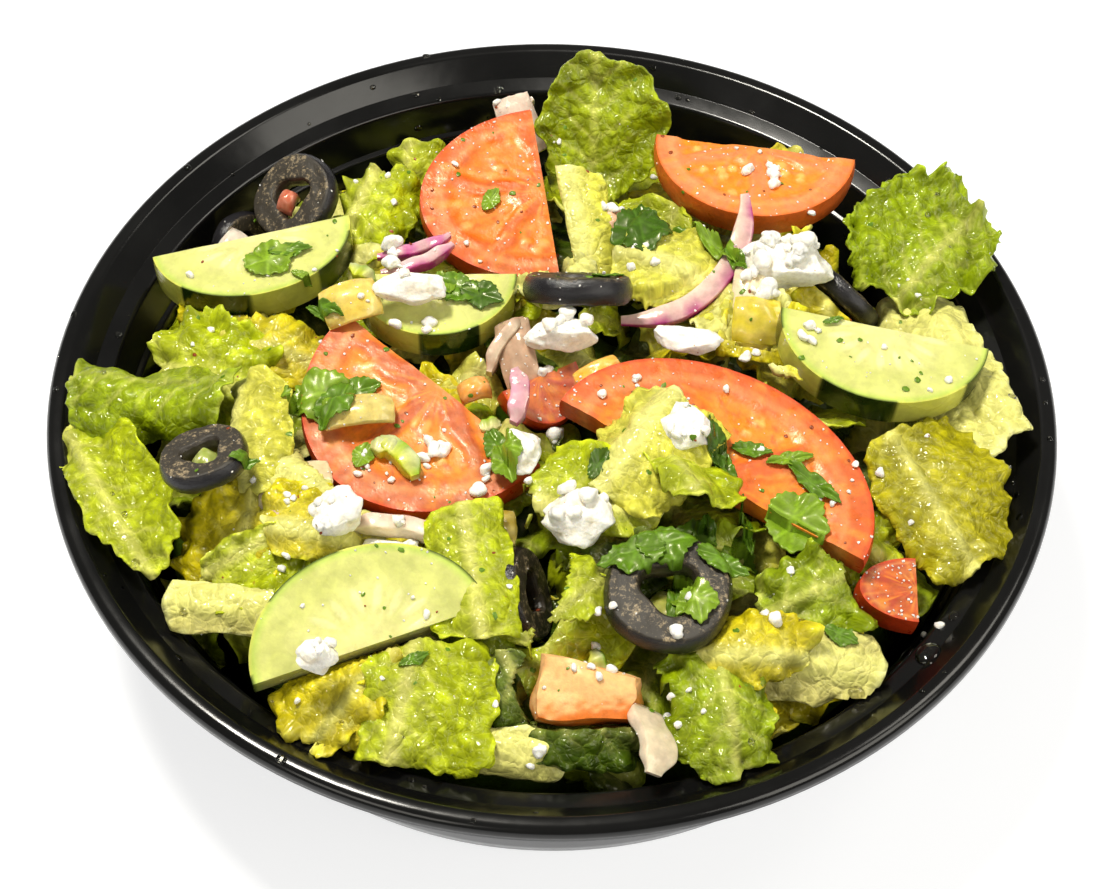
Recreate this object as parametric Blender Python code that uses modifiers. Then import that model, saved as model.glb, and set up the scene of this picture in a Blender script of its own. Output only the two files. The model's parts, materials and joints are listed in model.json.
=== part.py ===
"""Greek salad in a round black take-out bowl, built as one rigid object.

Run it with: blender --background --python part.py
Metres, +Z up. The origin is the middle of the ring that the bowl stands on, and -Y is the front.
Each sub-part is its own object: the bowl, the heap of chopped lettuce, and the pieces that lie on it.
Sizes below are in millimetres, and angles in degrees.
"""

import math

import bmesh
import bpy
from mathutils import Matrix, Vector, noise
from mathutils.bvhtree import BVHTree

MM = 0.001

# The bowl: a thin tray with a rolled rim, a ledge that a lid snaps onto, and a stacking step.
RIM_RADIUS = 92.0
BOWL_HEIGHT = 44.0
BOWL_WALL = 0.8
RIM_SKIRT = 2.6
LEDGE_DROP = 5.0
LEDGE_RADIUS = 82.2
STEP_DROP = 7.4
STEP_RADIUS = 79.8
FOOT_RADIUS = 72.0
FOOT_WIDTH = 12.0
FLOOR_RISE = 1.2
BOWL_TURNS = 48

# The heap: a lumpy mound, higher at the front than at the back, where the wall shows.
GAP = 0.35
WALL_CLEARANCE = 0.7
CROWN = 44.0
EDGE_FRONT = 35.0
EDGE_BACK = 24.0
LUMP_SPAN = 13.0
LUMP_RISE = 7.0
HEAP_TURNS = 44
HEAP_RINGS = 13

# What lies on the heap.
LEAF_THICKNESS = 1.2
TOMATO_THICKNESS = 5.5
CUCUMBER_THICKNESS = 6.5
OLIVE_RADIUS = 11.0
OLIVE_HOLE = 4.2
OLIVE_THICKNESS = 5.0
PEPPER_THICKNESS = 2.5

# Colour, roughness.
FINISHES = {
    "black_plastic": ((0.012, 0.012, 0.013), 0.22),
    "lettuce": ((0.42, 0.52, 0.06), 0.45),
    "tomato": ((0.72, 0.12, 0.035), 0.3),
    "cucumber": ((0.62, 0.70, 0.32), 0.35),
    "olive": ((0.03, 0.022, 0.022), 0.3),
    "feta": ((0.88, 0.84, 0.74), 0.7),
    "red_onion": ((0.62, 0.36, 0.48), 0.3),
    "pepper": ((0.60, 0.52, 0.08), 0.3),
}

# Leaves: name, x, y, z of the middle, length, width, turn of the tip, lean, leaning toward, cup, seed.
LEAVES = [
    ("leaf_left", -75, -12, 50, 33, 20, 172, 6, 180, 4, 1),
    ("leaf_left_front", -74, -35, 47.5, 27, 19, 215, 12, 200, 3, 2),
    ("leaf_back", 8, 64, 50, 30, 26, 90, 50, -90, 4, 3),
    ("leaf_back_right", 69, 33, 47, 27, 25, 50, 10, -90, 4, 4),
    ("leaf_right", 72, 5, 40, 38, 16, -72, 12, 180, 3, 5),
    ("leaf_right_front", 69, -26, 47, 28, 20, -60, 14, -60, 4, 6),
    ("leaf_front", -19, -70, 44, 22, 20, -95, 14, -90, 3, 7),
    ("leaf_front_right", 28, -69, 45, 22, 18, -80, 12, -80, 3, 8),
]

# Tomato slices: name, x, y, z, length, depth, azimuth of the rounded side, lean, leaning toward.
TOMATOES = [
    ("tomato_back_left", -13, 41, 49, 36, 25, 180, 14, -90),
    ("tomato_back_right", 37, 46, 48, 39, 18, -98, 2, -90),
    ("tomato_left", -28, -18, 48, 42, 26, -130, 8, -90),
    ("tomato_right", 33, -17, 50, 60, 22, 60, 8, -90),
    ("tomato_centre", -1, -7, 46, 15, 9, -60, 25, -60),
    ("tomato_front", 7, -65, 42, 18, 12, -90, 14, -90),
    ("tomato_dice", 58, -43, 41, 12, 10, 180, 10, -60),
]

# Cucumber half slices: name, x, y, z, length, depth, azimuth of the peel, lean, leaning toward.
CUCUMBERS = [
    ("cucumber_back_left", -56, 24, 44, 38, 15, -73, 2, 180),
    ("cucumber_centre", -22, 10, 50, 30, 14, -88, 4, -90),
    ("cucumber_front_left", -32, -52, 48, 41, 17, 112, 20, -80),
    ("cucumber_right", 58, -2, 51, 38, 16, -100, 6, -60),
]

# Olive rings: name, x, y, z, size, lean, leaning toward.
OLIVES = [
    ("olive_back_left", -51, 43, 45, 0.86, 36, 215),
    ("olive_wall", -62, 38, 36, 0.7, 70, -30),
    ("olive_left", -59, -30, 52, 0.78, 34, -100),
    ("olive_top", 4, 12, 56, 1.0, 44, 90),
    ("olive_front", 20, -51, 50, 1.05, 8, -90),
    ("olive_right", 55, 25, 41, 0.8, 60, 40),
    ("olive_middle_front", -4, -46, 42, 0.8, 66, 0),
]

# Feta lumps: name, x, y, z, width, depth, height, seed.
FETA = [
    ("feta_left", -36, -38, 53, 8.5, 8, 7, 1),
    ("feta_middle_front", 5, -37, 53, 11, 10, 8, 2),
    ("feta_middle", 23, -21, 57, 10, 9, 8, 3),
    ("feta_back_right", 43, 23, 52, 15, 11, 8, 4),
    ("feta_top", 1, 1, 56, 11, 6, 6, 5),
    ("feta_back_left", -26, 9, 58, 12, 6, 5, 6),
    ("feta_left_front", -27, -41, 46, 10, 6, 4, 7),
    ("feta_slab", 24, 4, 52, 11, 5, 4, 8),
    ("feta_centre_left", -5, -24, 54, 6.5, 8, 6, 9),
    ("feta_front_left", -37, -66, 53, 6, 5.5, 5, 10),
]

# Red onion strips: name, x, y, z, radius of the curve, degrees of it, azimuth of its middle, height,
# lean, leaning toward.
ONIONS = [
    ("onion_arc", 27, 22, 51, 24, 96, -40, 3.4, 6, -90),
    ("onion_purple_back", -27, 26, 50, 22, 38, -70, 3.0, 10, -90),
    ("onion_purple_front", -26, 22, 51, 24, 36, -62, 3.0, 10, -90),
    ("onion_purple_centre", -6, -13, 55, 12, 50, 0, 4.0, 14, -90),
    ("onion_left_front", -26, -37, 48, 30, 32, 84, 3.6, 6, -90),
    ("onion_back", -9, 67, 44, 13, 50, 150, 6.0, 20, -90),
    ("onion_front", 18, -74, 43, 16, 40, 20, 5.0, 8, -90),
    ("onion_wedge", -9, 2, 51, 20, 36, 150, 6.0, 20, -90),
]

# Pepper pieces: name, x, y, z, length, width, turn, lean, leaning toward.
PEPPERS = [
    ("pepper_middle", -12, -35, 46, 13, 6, 4, 14, -90),
    ("pepper_back_left", -37, 7, 55, 11, 7, 20, 20, -90),
    ("pepper_right", 37, 10, 48, 8, 8, 70, 30, -90),
    ("pepper_left", -34, -16, 54, 13, 6, 10, 6, -90),
]


def clear_scene():
    for obj in list(bpy.data.objects):
        bpy.data.objects.remove(obj, do_unlink=True)


def make_material(name):
    colour, roughness = FINISHES[name]
    material = bpy.data.materials.new(name)
    material.use_nodes = True
    shader = material.node_tree.nodes["Principled BSDF"]
    shader.inputs["Base Color"].default_value = (*colour, 1.0)
    shader.inputs["Roughness"].default_value = roughness
    shader.inputs["Metallic"].default_value = 0.0
    return material


def make_object(salad, name, bm, finish):
    """Turns a bmesh in millimetres into an object of the salad's collection."""
    bmesh.ops.scale(bm, vec=(MM, MM, MM), verts=bm.verts)
    mesh = bpy.data.meshes.new(name)
    bm.to_mesh(mesh)
    bm.free()
    mesh.materials.append(bpy.data.materials[finish])
    mesh.shade_smooth()
    mesh.set_sharp_from_angle(angle=math.radians(40))
    obj = bpy.data.objects.new(name, mesh)
    salad.objects.link(obj)
    return obj


# Turned shapes.


def rounded_path(corners, steps):
    """Points along straight runs joined by arcs, each corner being x, y and its rounding radius."""
    path = []
    for i, (x, y, radius) in enumerate(corners):
        here = Vector((x, y))
        if radius == 0:
            path.append(here)
            continue
        before = (Vector(corners[i - 1][:2]) - here).normalized()
        after = (Vector(corners[i + 1][:2]) - here).normalized()
        half_angle = before.angle(after) / 2
        centre = here + (before + after).normalized() * radius / math.sin(half_angle)
        start = here + before * radius / math.tan(half_angle) - centre
        end = here + after * radius / math.tan(half_angle) - centre
        turn = start.angle_signed(end)
        for step in range(steps + 1):
            path.append(centre + Matrix.Rotation(-turn * step / steps, 2) @ start)
    return path


def bowl_midline():
    """The middle of the bowl's wall: radius and height, from the rim's skirt down to the axis."""
    half = BOWL_WALL / 2
    rim = RIM_RADIUS - half
    top = BOWL_HEIGHT - half
    ledge = BOWL_HEIGHT - LEDGE_DROP - half
    step = ledge - STEP_DROP
    corners = [
        (rim, BOWL_HEIGHT - RIM_SKIRT, 0),
        (rim, top, 1.3),
        (RIM_RADIUS - 2.9, top, 0.9),
        (LEDGE_RADIUS + 3.2, ledge + 0.9, 0.6),
        (LEDGE_RADIUS, ledge, 0.8),
        (STEP_RADIUS + 0.5, step + 0.2, 0.5),
        (STEP_RADIUS - 0.5, step - 0.2, 0.5),
        (FOOT_RADIUS + 3.0, half, 11.0),
        (FOOT_RADIUS - FOOT_WIDTH, half, 0.8),
        (FOOT_RADIUS - FOOT_WIDTH - 1.5, half + FLOOR_RISE, 0.8),
        (0, half + FLOOR_RISE, 0),
    ]
    return rounded_path(corners, steps=1)


def inner_radius(height):
    """The bowl's inner radius at a height between its floor and its ledge."""
    midline = bowl_midline()
    for high, low in zip(midline, midline[1:]):
        if low.y <= height <= high.y and high.x < RIM_RADIUS - 3:
            share = (height - low.y) / (high.y - low.y)
            return low.x + (high.x - low.x) * share - BOWL_WALL / 2
    return FOOT_RADIUS


def add_bowl(salad):
    """A turned sheet with a wall thickness."""
    bm = bmesh.new()
    verts = [bm.verts.new((point.x, 0, point.y)) for point in bowl_midline()]
    for pair in zip(verts, verts[1:]):
        bm.edges.new(pair)
    bowl = make_object(salad, "bowl", bm, "black_plastic")
    screw = bowl.modifiers.new("turned", "SCREW")
    screw.steps = BOWL_TURNS
    screw.render_steps = BOWL_TURNS
    screw.use_merge_vertices = True
    screw.merge_threshold = 1e-5
    wall = bowl.modifiers.new("wall", "SOLIDIFY")
    wall.thickness = BOWL_WALL * MM
    wall.offset = 0
    wall.use_even_offset = True
    return bowl


def heap_edge(angle):
    """How high up the wall the heap reaches in a direction: most at the front, least at the back."""
    return (EDGE_FRONT + EDGE_BACK) / 2 - (EDGE_FRONT - EDGE_BACK) / 2 * math.sin(angle)


def heap_reach(height):
    """The heap's radius at a height: clear of the wall, and no wider above the step than below it."""
    return min(inner_radius(height), STEP_RADIUS - 1) - WALL_CLEARANCE


def heap_height(x, y):
    """The top of the heap: a mound with lumps as large as a chopped leaf."""
    edge = heap_edge(math.atan2(y, x))
    share = min(1.0, math.hypot(x, y) / heap_reach(edge))
    lump = noise.noise(Vector((x, y, 0)) / LUMP_SPAN)
    return edge + (CROWN - edge) * (1 - share**2.6) + LUMP_RISE * lump * (1 - share**6)


def heap_mesh():
    """A solid that fills the bowl, clear of its wall, up to the uneven top."""
    floor = BOWL_WALL + FLOOR_RISE + WALL_CLEARANCE
    foot = FOOT_RADIUS - FOOT_WIDTH
    shoulder = heap_reach(EDGE_BACK)
    profile = [(0, floor), (foot, floor)]
    for height in (12.0, EDGE_BACK - 3):
        profile.append((heap_reach(height), height))
    for ring in range(HEAP_RINGS + 1):
        profile.append((shoulder * (1 - ring / HEAP_RINGS), EDGE_BACK))
    bm = bmesh.new()
    verts = [bm.verts.new((x, 0, z)) for x, z in profile]
    edges = [bm.edges.new(pair) for pair in zip(verts, verts[1:])]
    bmesh.ops.spin(
        bm,
        geom=verts + edges,
        cent=(0, 0, 0),
        axis=(0, 0, 1),
        angle=math.tau,
        steps=HEAP_TURNS,
        use_merge=True,
    )
    bmesh.ops.remove_doubles(bm, verts=bm.verts, dist=1e-3)
    bmesh.ops.recalc_face_normals(bm, faces=bm.faces)
    for vert in bm.verts:
        if vert.co.z > EDGE_BACK - 1:
            edge = heap_edge(math.atan2(vert.co.y, vert.co.x))
            vert.co.xy *= heap_reach(edge) / shoulder
            vert.co.z = heap_height(vert.co.x, vert.co.y)
    return bm


def press(bm, points):
    """Lowers the heap's top wherever a point of what lies on it would sink in.

    Each face of the top that has such a point over it goes down as a whole, corners and all.
    """
    top = [face for face in bm.faces if face.normal.z > 0.2]
    tree = BVHTree.FromPolygons([v.co for v in bm.verts], [[v.index for v in f.verts] for f in top])
    ceiling = {}
    for point in points:
        face = tree.ray_cast(Vector((point.x, point.y, 2 * BOWL_HEIGHT)), Vector((0, 0, -1)))[2]
        if face is not None:
            for vert in top[face].verts:
                ceiling[vert] = min(ceiling.get(vert, vert.co.z), point.z - GAP)
    for vert, height in ceiling.items():
        vert.co.z = height
        reach = heap_reach(height)
        if vert.co.xy.length > reach:
            vert.co.xy *= reach / vert.co.xy.length


def add_heap(salad, pile):
    bm = heap_mesh()
    bm.normal_update()
    bm.verts.index_update()
    press(bm, pile.points())
    return make_object(salad, "salad_heap", bm, "lettuce")


# Pieces that lie on the heap. Each is made flat, middle at its origin, with its cut face up.


def centre(bm):
    low = Vector(min(v.co[i] for v in bm.verts) for i in range(3))
    high = Vector(max(v.co[i] for v in bm.verts) for i in range(3))
    bmesh.ops.translate(bm, vec=-(low + high) / 2, verts=bm.verts)


def half_slice(length, depth, thickness, segments=22):
    """Half of an oval slice, its straight side across X and its rounded side toward +X."""
    bm = bmesh.new()
    bmesh.ops.create_cone(bm, cap_ends=True, segments=segments, radius1=1, radius2=1, depth=thickness)
    geom = bm.verts[:] + bm.edges[:] + bm.faces[:]
    cut = bmesh.ops.bisect_plane(bm, geom=geom, plane_no=(-1, 0, 0), clear_outer=True)["geom_cut"]
    bmesh.ops.edgeloop_fill(bm, edges=[e for e in cut if isinstance(e, bmesh.types.BMEdge)])
    bmesh.ops.scale(bm, vec=(depth, length / 2, 1), verts=bm.verts)
    flat = [f for f in bm.faces if abs(f.normal.z) > 0.9]
    rims = {e for f in flat for e in f.edges}
    bmesh.ops.bevel(bm, geom=list(rims), offset=0.7, segments=1, profile=0.5, affect="EDGES", material=-1)
    bmesh.ops.recalc_face_normals(bm, faces=bm.faces)
    centre(bm)
    return bm


def olive_ring(size):
    """A ring cut from a stoned olive, with a bulging skin."""
    outer, hole, half = OLIVE_RADIUS * size, OLIVE_HOLE * size, OLIVE_THICKNESS * size / 2
    bm = bmesh.new()
    profile = [(hole, half), (outer * 0.93, half), (outer, 0), (outer * 0.93, -half), (hole, -half)]
    verts = [bm.verts.new((x, 0, z)) for x, z in profile]
    edges = [bm.edges.new((verts[i - 1], verts[i])) for i in range(len(verts))]
    bmesh.ops.spin(
        bm, geom=verts + edges, cent=(0, 0, 0), axis=(0, 0, 1), angle=math.tau, steps=14, use_merge=True
    )
    bmesh.ops.recalc_face_normals(bm, faces=bm.faces)
    return bm


def crumbled_lump(size, seed):
    """A crumbled piece of cheese: a ball with broken facets."""
    bm = bmesh.new()
    bmesh.ops.create_icosphere(bm, subdivisions=2, radius=0.5)
    for vert in bm.verts:
        vert.co *= 1 + 0.35 * noise.noise(vert.co * 2.4 + Vector((seed, 0, 0)))
    bmesh.ops.scale(bm, vec=size, verts=bm.verts)
    centre(bm)
    return bm


def curved_strip(radius, degrees, height, width=2.6, steps=7):
    """A stretch of an onion's ring, bulging toward +X."""
    bm = bmesh.new()
    inner, outer = radius - width / 2, radius + width / 2
    profile = [(inner, -height / 2), (outer, -height / 2), (outer, height / 2), (inner, height / 2)]
    end = bm.faces.new([bm.verts.new((x, 0, z)) for x, z in profile])
    turn = Matrix.Rotation(math.radians(-degrees / 2), 3, "Z")
    bmesh.ops.rotate(bm, matrix=turn, verts=bm.verts)
    bmesh.ops.spin(
        bm, geom=[end], cent=(0, 0, 0), axis=(0, 0, 1), angle=math.radians(degrees), steps=steps
    )
    bmesh.ops.recalc_face_normals(bm, faces=bm.faces)
    centre(bm)
    return bm


def curved_plate(length, width):
    """A block of pepper, a little bent."""
    bm = bmesh.new()
    bmesh.ops.create_cube(bm, size=1)
    bmesh.ops.scale(bm, vec=(length, width, PEPPER_THICKNESS), verts=bm.verts)
    across = [e for e in bm.edges if abs(e.verts[0].co.x - e.verts[1].co.x) > length / 2]
    bmesh.ops.subdivide_edges(bm, edges=across, cuts=3, use_grid_fill=True)
    for vert in bm.verts:
        vert.co.z -= 1.2 * (2 * vert.co.x / length) ** 2
    bmesh.ops.recalc_face_normals(bm, faces=bm.faces)
    centre(bm)
    return bm


def leaf_sheet(length, width, cup, seed):
    """A cut leaf, tip toward +X: an oval sheet, folded along its rib, with a wavy margin."""
    bm = bmesh.new()
    bmesh.ops.create_grid(bm, x_segments=6, y_segments=4, size=1)
    for vert in bm.verts:
        along, across = vert.co.x, vert.co.y
        reach = math.sqrt(1 - 0.42 * across**2)
        spread = math.sqrt(1 - 0.42 * along**2)
        wave = noise.noise(Vector((1.7 * along, 1.7 * across, seed)))
        vert.co.x = along * reach * length / 2
        vert.co.y = across * spread * width / 2
        vert.co.z = cup * (0.5 * across**2 - 0.35 * along**2 + 1.1 * wave)
    centre(bm)
    return bm


def solid_shape(obj):
    """An object's evaluated corners and triangles in world space, in millimetres."""
    evaluated = obj.evaluated_get(bpy.context.evaluated_depsgraph_get())
    mesh = evaluated.to_mesh()
    mesh.calc_loop_triangles()
    corners = [obj.matrix_world @ v.co / MM for v in mesh.vertices]
    triangles = [tuple(t.vertices) for t in mesh.loop_triangles]
    evaluated.to_mesh_clear()
    return corners, triangles


class Pile:
    """What has been laid down so far, and how the next piece finds its place on it."""

    def __init__(self):
        self.laid = []

    def add(self, corners, triangles):
        self.laid.append((corners, triangles, BVHTree.FromPolygons(corners, triangles)))

    def points(self, parts=4):
        """Points spread over the surface of all that was laid down after the bowl."""
        for corners, triangles, _ in self.laid[1:]:
            for a, b, c in triangles:
                for i in range(parts + 1):
                    for j in range(parts + 1 - i):
                        yield (corners[a] * i + corners[b] * j + corners[c] * (parts - i - j)) / parts

    def rest(self, obj, place, lean, toward, turn):
        """Lays a piece at a place, or as little above it as clears the pile.

        Its top leans toward an azimuth, and its +X end points along turn.
        """
        lay = Matrix.Rotation(math.radians(toward), 4, "Z")
        lay @= Matrix.Rotation(math.radians(lean), 4, "Y")
        lay @= Matrix.Rotation(math.radians(turn - toward), 4, "Z")
        obj.matrix_world = Matrix.Translation(Vector(place) * MM) @ lay
        bpy.context.view_layer.update()
        corners, triangles = solid_shape(obj)
        step = Vector((0, 0, GAP))
        while self.touches(corners, triangles):
            corners = [corner + step for corner in corners]
            obj.location += step * MM
        obj.location += step * MM
        self.add([corner + step for corner in corners], triangles)

    def touches(self, corners, triangles):
        piece = BVHTree.FromPolygons(corners, triangles)
        return any(tree.overlap(piece) for _, _, tree in self.laid)


def add_toppings(salad, pile):
    for name, x, y, z, length, width, turn, lean, toward, cup, seed in LEAVES:
        leaf = make_object(salad, name, leaf_sheet(length, width, cup, seed), "lettuce")
        sheet = leaf.modifiers.new("thickness", "SOLIDIFY")
        sheet.thickness = LEAF_THICKNESS * MM
        sheet.offset = 0
        pile.rest(leaf, (x, y, z), lean, toward, turn)
    for name, x, y, z, length, depth, azimuth, lean, toward in TOMATOES:
        piece = make_object(salad, name, half_slice(length, depth, TOMATO_THICKNESS), "tomato")
        pile.rest(piece, (x, y, z), lean, toward, azimuth)
    for name, x, y, z, length, depth, azimuth, lean, toward in CUCUMBERS:
        piece = make_object(salad, name, half_slice(length, depth, CUCUMBER_THICKNESS), "cucumber")
        pile.rest(piece, (x, y, z), lean, toward, azimuth)
    for name, x, y, z, length, width, turn, lean, toward in PEPPERS:
        piece = make_object(salad, name, curved_plate(length, width), "pepper")
        pile.rest(piece, (x, y, z), lean, toward, turn)
    for name, x, y, z, radius, degrees, azimuth, height, lean, toward in ONIONS:
        piece = make_object(salad, name, curved_strip(radius, degrees, height), "red_onion")
        pile.rest(piece, (x, y, z), lean, toward, azimuth)
    for name, x, y, z, size, lean, toward in OLIVES:
        pile.rest(make_object(salad, name, olive_ring(size), "olive"), (x, y, z), lean, toward, 0)
    for name, x, y, z, width, depth, height, seed in FETA:
        piece = make_object(salad, name, crumbled_lump((width, depth, height), seed), "feta")
        pile.rest(piece, (x, y, z), 0, 0, 0)


def main():
    clear_scene()
    salad = bpy.data.collections.new("greek_salad")
    bpy.context.scene.collection.children.link(salad)
    for finish in FINISHES:
        make_material(finish)
    bowl = add_bowl(salad)
    bpy.context.view_layer.update()
    pile = Pile()
    pile.add(*solid_shape(bowl))
    add_toppings(salad, pile)
    add_heap(salad, pile)


main()
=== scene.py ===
"""The looks of a greek salad in a round black take-out bowl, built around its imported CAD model.

Lengths named in millimetres are scaled to metres when a piece is finished.
"""

import json
import math
import random

import bmesh
import bpy
from mathutils import Matrix, Quaternion, Vector, noise
from mathutils.bvhtree import BVHTree

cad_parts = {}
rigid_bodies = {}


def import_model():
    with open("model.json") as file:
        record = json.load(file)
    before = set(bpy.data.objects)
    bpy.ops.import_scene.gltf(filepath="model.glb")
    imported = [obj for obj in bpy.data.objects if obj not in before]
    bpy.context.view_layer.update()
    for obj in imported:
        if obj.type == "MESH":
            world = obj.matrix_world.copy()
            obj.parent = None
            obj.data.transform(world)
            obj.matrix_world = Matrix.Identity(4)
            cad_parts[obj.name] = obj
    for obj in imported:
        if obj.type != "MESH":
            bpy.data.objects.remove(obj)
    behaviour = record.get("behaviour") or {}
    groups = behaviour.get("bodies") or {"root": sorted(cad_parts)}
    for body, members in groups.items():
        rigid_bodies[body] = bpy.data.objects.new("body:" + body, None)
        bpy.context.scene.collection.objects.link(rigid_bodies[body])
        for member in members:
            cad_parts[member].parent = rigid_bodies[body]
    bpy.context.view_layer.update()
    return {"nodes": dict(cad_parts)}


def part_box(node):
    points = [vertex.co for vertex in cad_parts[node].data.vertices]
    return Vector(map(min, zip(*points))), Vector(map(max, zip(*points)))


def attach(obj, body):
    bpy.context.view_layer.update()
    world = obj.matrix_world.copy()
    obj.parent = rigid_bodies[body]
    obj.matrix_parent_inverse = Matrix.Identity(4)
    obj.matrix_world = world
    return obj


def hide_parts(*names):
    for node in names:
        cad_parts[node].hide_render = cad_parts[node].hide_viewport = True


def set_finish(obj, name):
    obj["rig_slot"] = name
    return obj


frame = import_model()
scene = bpy.context.scene
MM = 0.001

# ---------------------------------------------------------------------------------------------
# Camera and studio. A seamless pale sweep under the bowl, a small bright box above and to the
# left for crisp highlights, wider and dimmer ones on the right and in front, and a pale room.

rim_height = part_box("bowl")[1].z
rim_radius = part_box("bowl")[1].x
camera_elevation = math.radians(50.75)
camera_distance = 4.383 * rim_radius
camera_roll = math.radians(1.48)

camera_data = bpy.data.cameras.new("camera")
camera_data.lens = 72.0
camera_data.sensor_width = 36.0
camera_data.clip_start = 0.01
camera = bpy.data.objects.new("camera", camera_data)
scene.collection.objects.link(camera)
scene.camera = camera
camera.location = (
    0.0,
    -camera_distance * math.cos(camera_elevation),
    rim_height + camera_distance * math.sin(camera_elevation),
)
aim = Vector((-0.0003, -0.0145, rim_height))
look = (aim - camera.location).to_track_quat("-Z", "Y")
camera.rotation_euler = (look @ Quaternion((0, 0, 1), camera_roll)).to_euler()

scene.view_settings.view_transform = "Standard"
scene.view_settings.look = "None"

LIGHT_COLOUR = (1.0, 0.96, 0.86)
LIGHT_TARGET = Vector((0.0, 0.0, 0.03))


def add_soft_box(name, place, width, depth, watts):
    """A rectangular soft light that points at the salad."""
    light = bpy.data.lights.new(name, "AREA")
    light.shape = "RECTANGLE"
    light.size = width
    light.size_y = depth
    light.energy = watts
    light.color = LIGHT_COLOUR
    box = bpy.data.objects.new(name, light)
    scene.collection.objects.link(box)
    box.location = place
    box.rotation_euler = (LIGHT_TARGET - Vector(place)).to_track_quat("-Z", "Y").to_euler()


add_soft_box("soft_box_top", (-0.20, 0.14, 0.75), 0.14, 0.14, 6.6)
add_soft_box("soft_box_right", (0.42, 0.12, 0.66), 0.24, 0.24, 1.0)
add_soft_box("soft_box_front", (-0.35, -0.60, 0.50), 0.40, 0.25, 0.9)
add_soft_box("soft_box_side", (0.50, -0.34, 0.50), 0.45, 0.35, 1.9)

world = bpy.data.worlds.new("pale_room")
scene.world = world
world.use_nodes = True
room = world.node_tree.nodes["Background"]
room.inputs["Color"].default_value = (1.0, 0.98, 0.92, 1.0)
room.inputs["Strength"].default_value = 0.18

SWEEP_HALF_WIDTH = 3.0
sweep_mesh = bmesh.new()
bmesh.ops.create_grid(sweep_mesh, x_segments=1, y_segments=1, size=SWEEP_HALF_WIDTH)
sweep_data = bpy.data.meshes.new("floor")
sweep_mesh.to_mesh(sweep_data)
sweep_mesh.free()
floor = bpy.data.objects.new("floor", sweep_data)
scene.collection.objects.link(floor)
paper = bpy.data.materials.new("pale_paper")
paper.use_nodes = True
paper_shader = paper.node_tree.nodes["Principled BSDF"]
paper_shader.inputs["Base Color"].default_value = (0.42, 0.43, 0.45, 1.0)
paper_shader.inputs["Roughness"].default_value = 0.9
paper_shader.inputs["Emission Color"].default_value = (1.0, 1.0, 1.0, 1.0)
paper_shader.inputs["Emission Strength"].default_value = 0.74
floor.data.materials.append(paper)

# ---------------------------------------------------------------------------------------------
# The bowl. Thin black polypropylene, vacuum formed over a turned mould: a rolled rim, a ledge
# that the lid snaps onto, a stacking step, a tapering wall and a standing ring round the floor.

BOWL_WALL = 0.8
BOWL_TURNS = 168
LEDGE_DROP = 5.0
STEP_DROP = 7.4
FOOT_ROUNDING = 11.0
STANDING_RING = 1.2
bowl_rim = rim_radius / MM
bowl_top = rim_height / MM


def rounded_path(corners, steps):
    """Points along straight runs joined by arcs, each corner being x, y and its rounding radius."""
    path = []
    for i, (x, y, radius) in enumerate(corners):
        here = Vector((x, y))
        if radius == 0:
            path.append(here)
            continue
        before = (Vector(corners[i - 1][:2]) - here).normalized()
        after = (Vector(corners[i + 1][:2]) - here).normalized()
        half_angle = before.angle(after) / 2
        centre = here + (before + after).normalized() * radius / math.sin(half_angle)
        start = here + before * radius / math.tan(half_angle) - centre
        end = here + after * radius / math.tan(half_angle) - centre
        turn = start.angle_signed(end)
        for step in range(steps + 1):
            path.append(centre + Matrix.Rotation(-turn * step / steps, 2) @ start)
    return path


def finish_piece(name, bm, material, slot, replaces=(), smooth_angle=45):
    """Makes a piece of a bmesh given in millimetres, and hands it to the frame."""
    bmesh.ops.scale(bm, vec=(MM, MM, MM), verts=bm.verts)
    mesh = bpy.data.meshes.new(name)
    bm.to_mesh(mesh)
    bm.free()
    mesh.materials.append(material)
    mesh.shade_smooth()
    mesh.set_sharp_from_angle(angle=math.radians(smooth_angle))
    piece = bpy.data.objects.new(name, mesh)
    scene.collection.objects.link(piece)
    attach(piece, "root")
    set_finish(piece, slot)
    if replaces:
        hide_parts(*replaces)
    return piece


def node_maker(material):
    """A short way to add and link shader nodes: put(type, settings, inputs) gives the node."""
    tree = material.node_tree

    def put(kind, settings=None, **inputs):
        node = tree.nodes.new("ShaderNode" + kind)
        for key, value in (settings or {}).items():
            setattr(node, key, value)
        for key, value in inputs.items():
            socket = node.inputs[int(key[1:])] if key[1:].isdigit() else node.inputs[key.replace("_", " ")]
            if isinstance(value, bpy.types.NodeSocket):
                tree.links.new(value, socket)
            else:
                socket.default_value = value
        return node

    return put


def new_material(name):
    """A material with its Principled shader and a put() for the rest of its nodes."""
    material = bpy.data.materials.new(name)
    material.use_nodes = True
    return material, material.node_tree.nodes["Principled BSDF"], node_maker(material)


black_plastic, shader, put = new_material("black_plastic")
shader.inputs["Specular IOR Level"].default_value = 0.42
coordinates = put("TexCoord").outputs["Object"]
smear = put("TexNoise", Vector=coordinates, Scale=38.0, Detail=5.0, Roughness=0.6).outputs["Fac"]
smear_band = put("MapRange", Value=smear, From_Min=0.35, From_Max=0.75, To_Min=0.13, To_Max=0.26)
black_plastic.node_tree.links.new(smear_band.outputs["Result"], shader.inputs["Roughness"])
tint = put("MapRange", Value=smear, From_Min=0.3, From_Max=0.8, To_Min=0.003, To_Max=0.006)
grey = put("CombineColor", **dict.fromkeys(("Red", "Green", "Blue"), tint.outputs["Result"]))
black_plastic.node_tree.links.new(grey.outputs["Color"], shader.inputs["Base Color"])
ripple = put("TexNoise", Vector=coordinates, Scale=160.0, Detail=2.0).outputs["Fac"]
dimple = put("Bump", Height=ripple, Strength=0.06, Distance=0.0006)
black_plastic.node_tree.links.new(dimple.outputs["Normal"], shader.inputs["Normal"])

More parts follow.
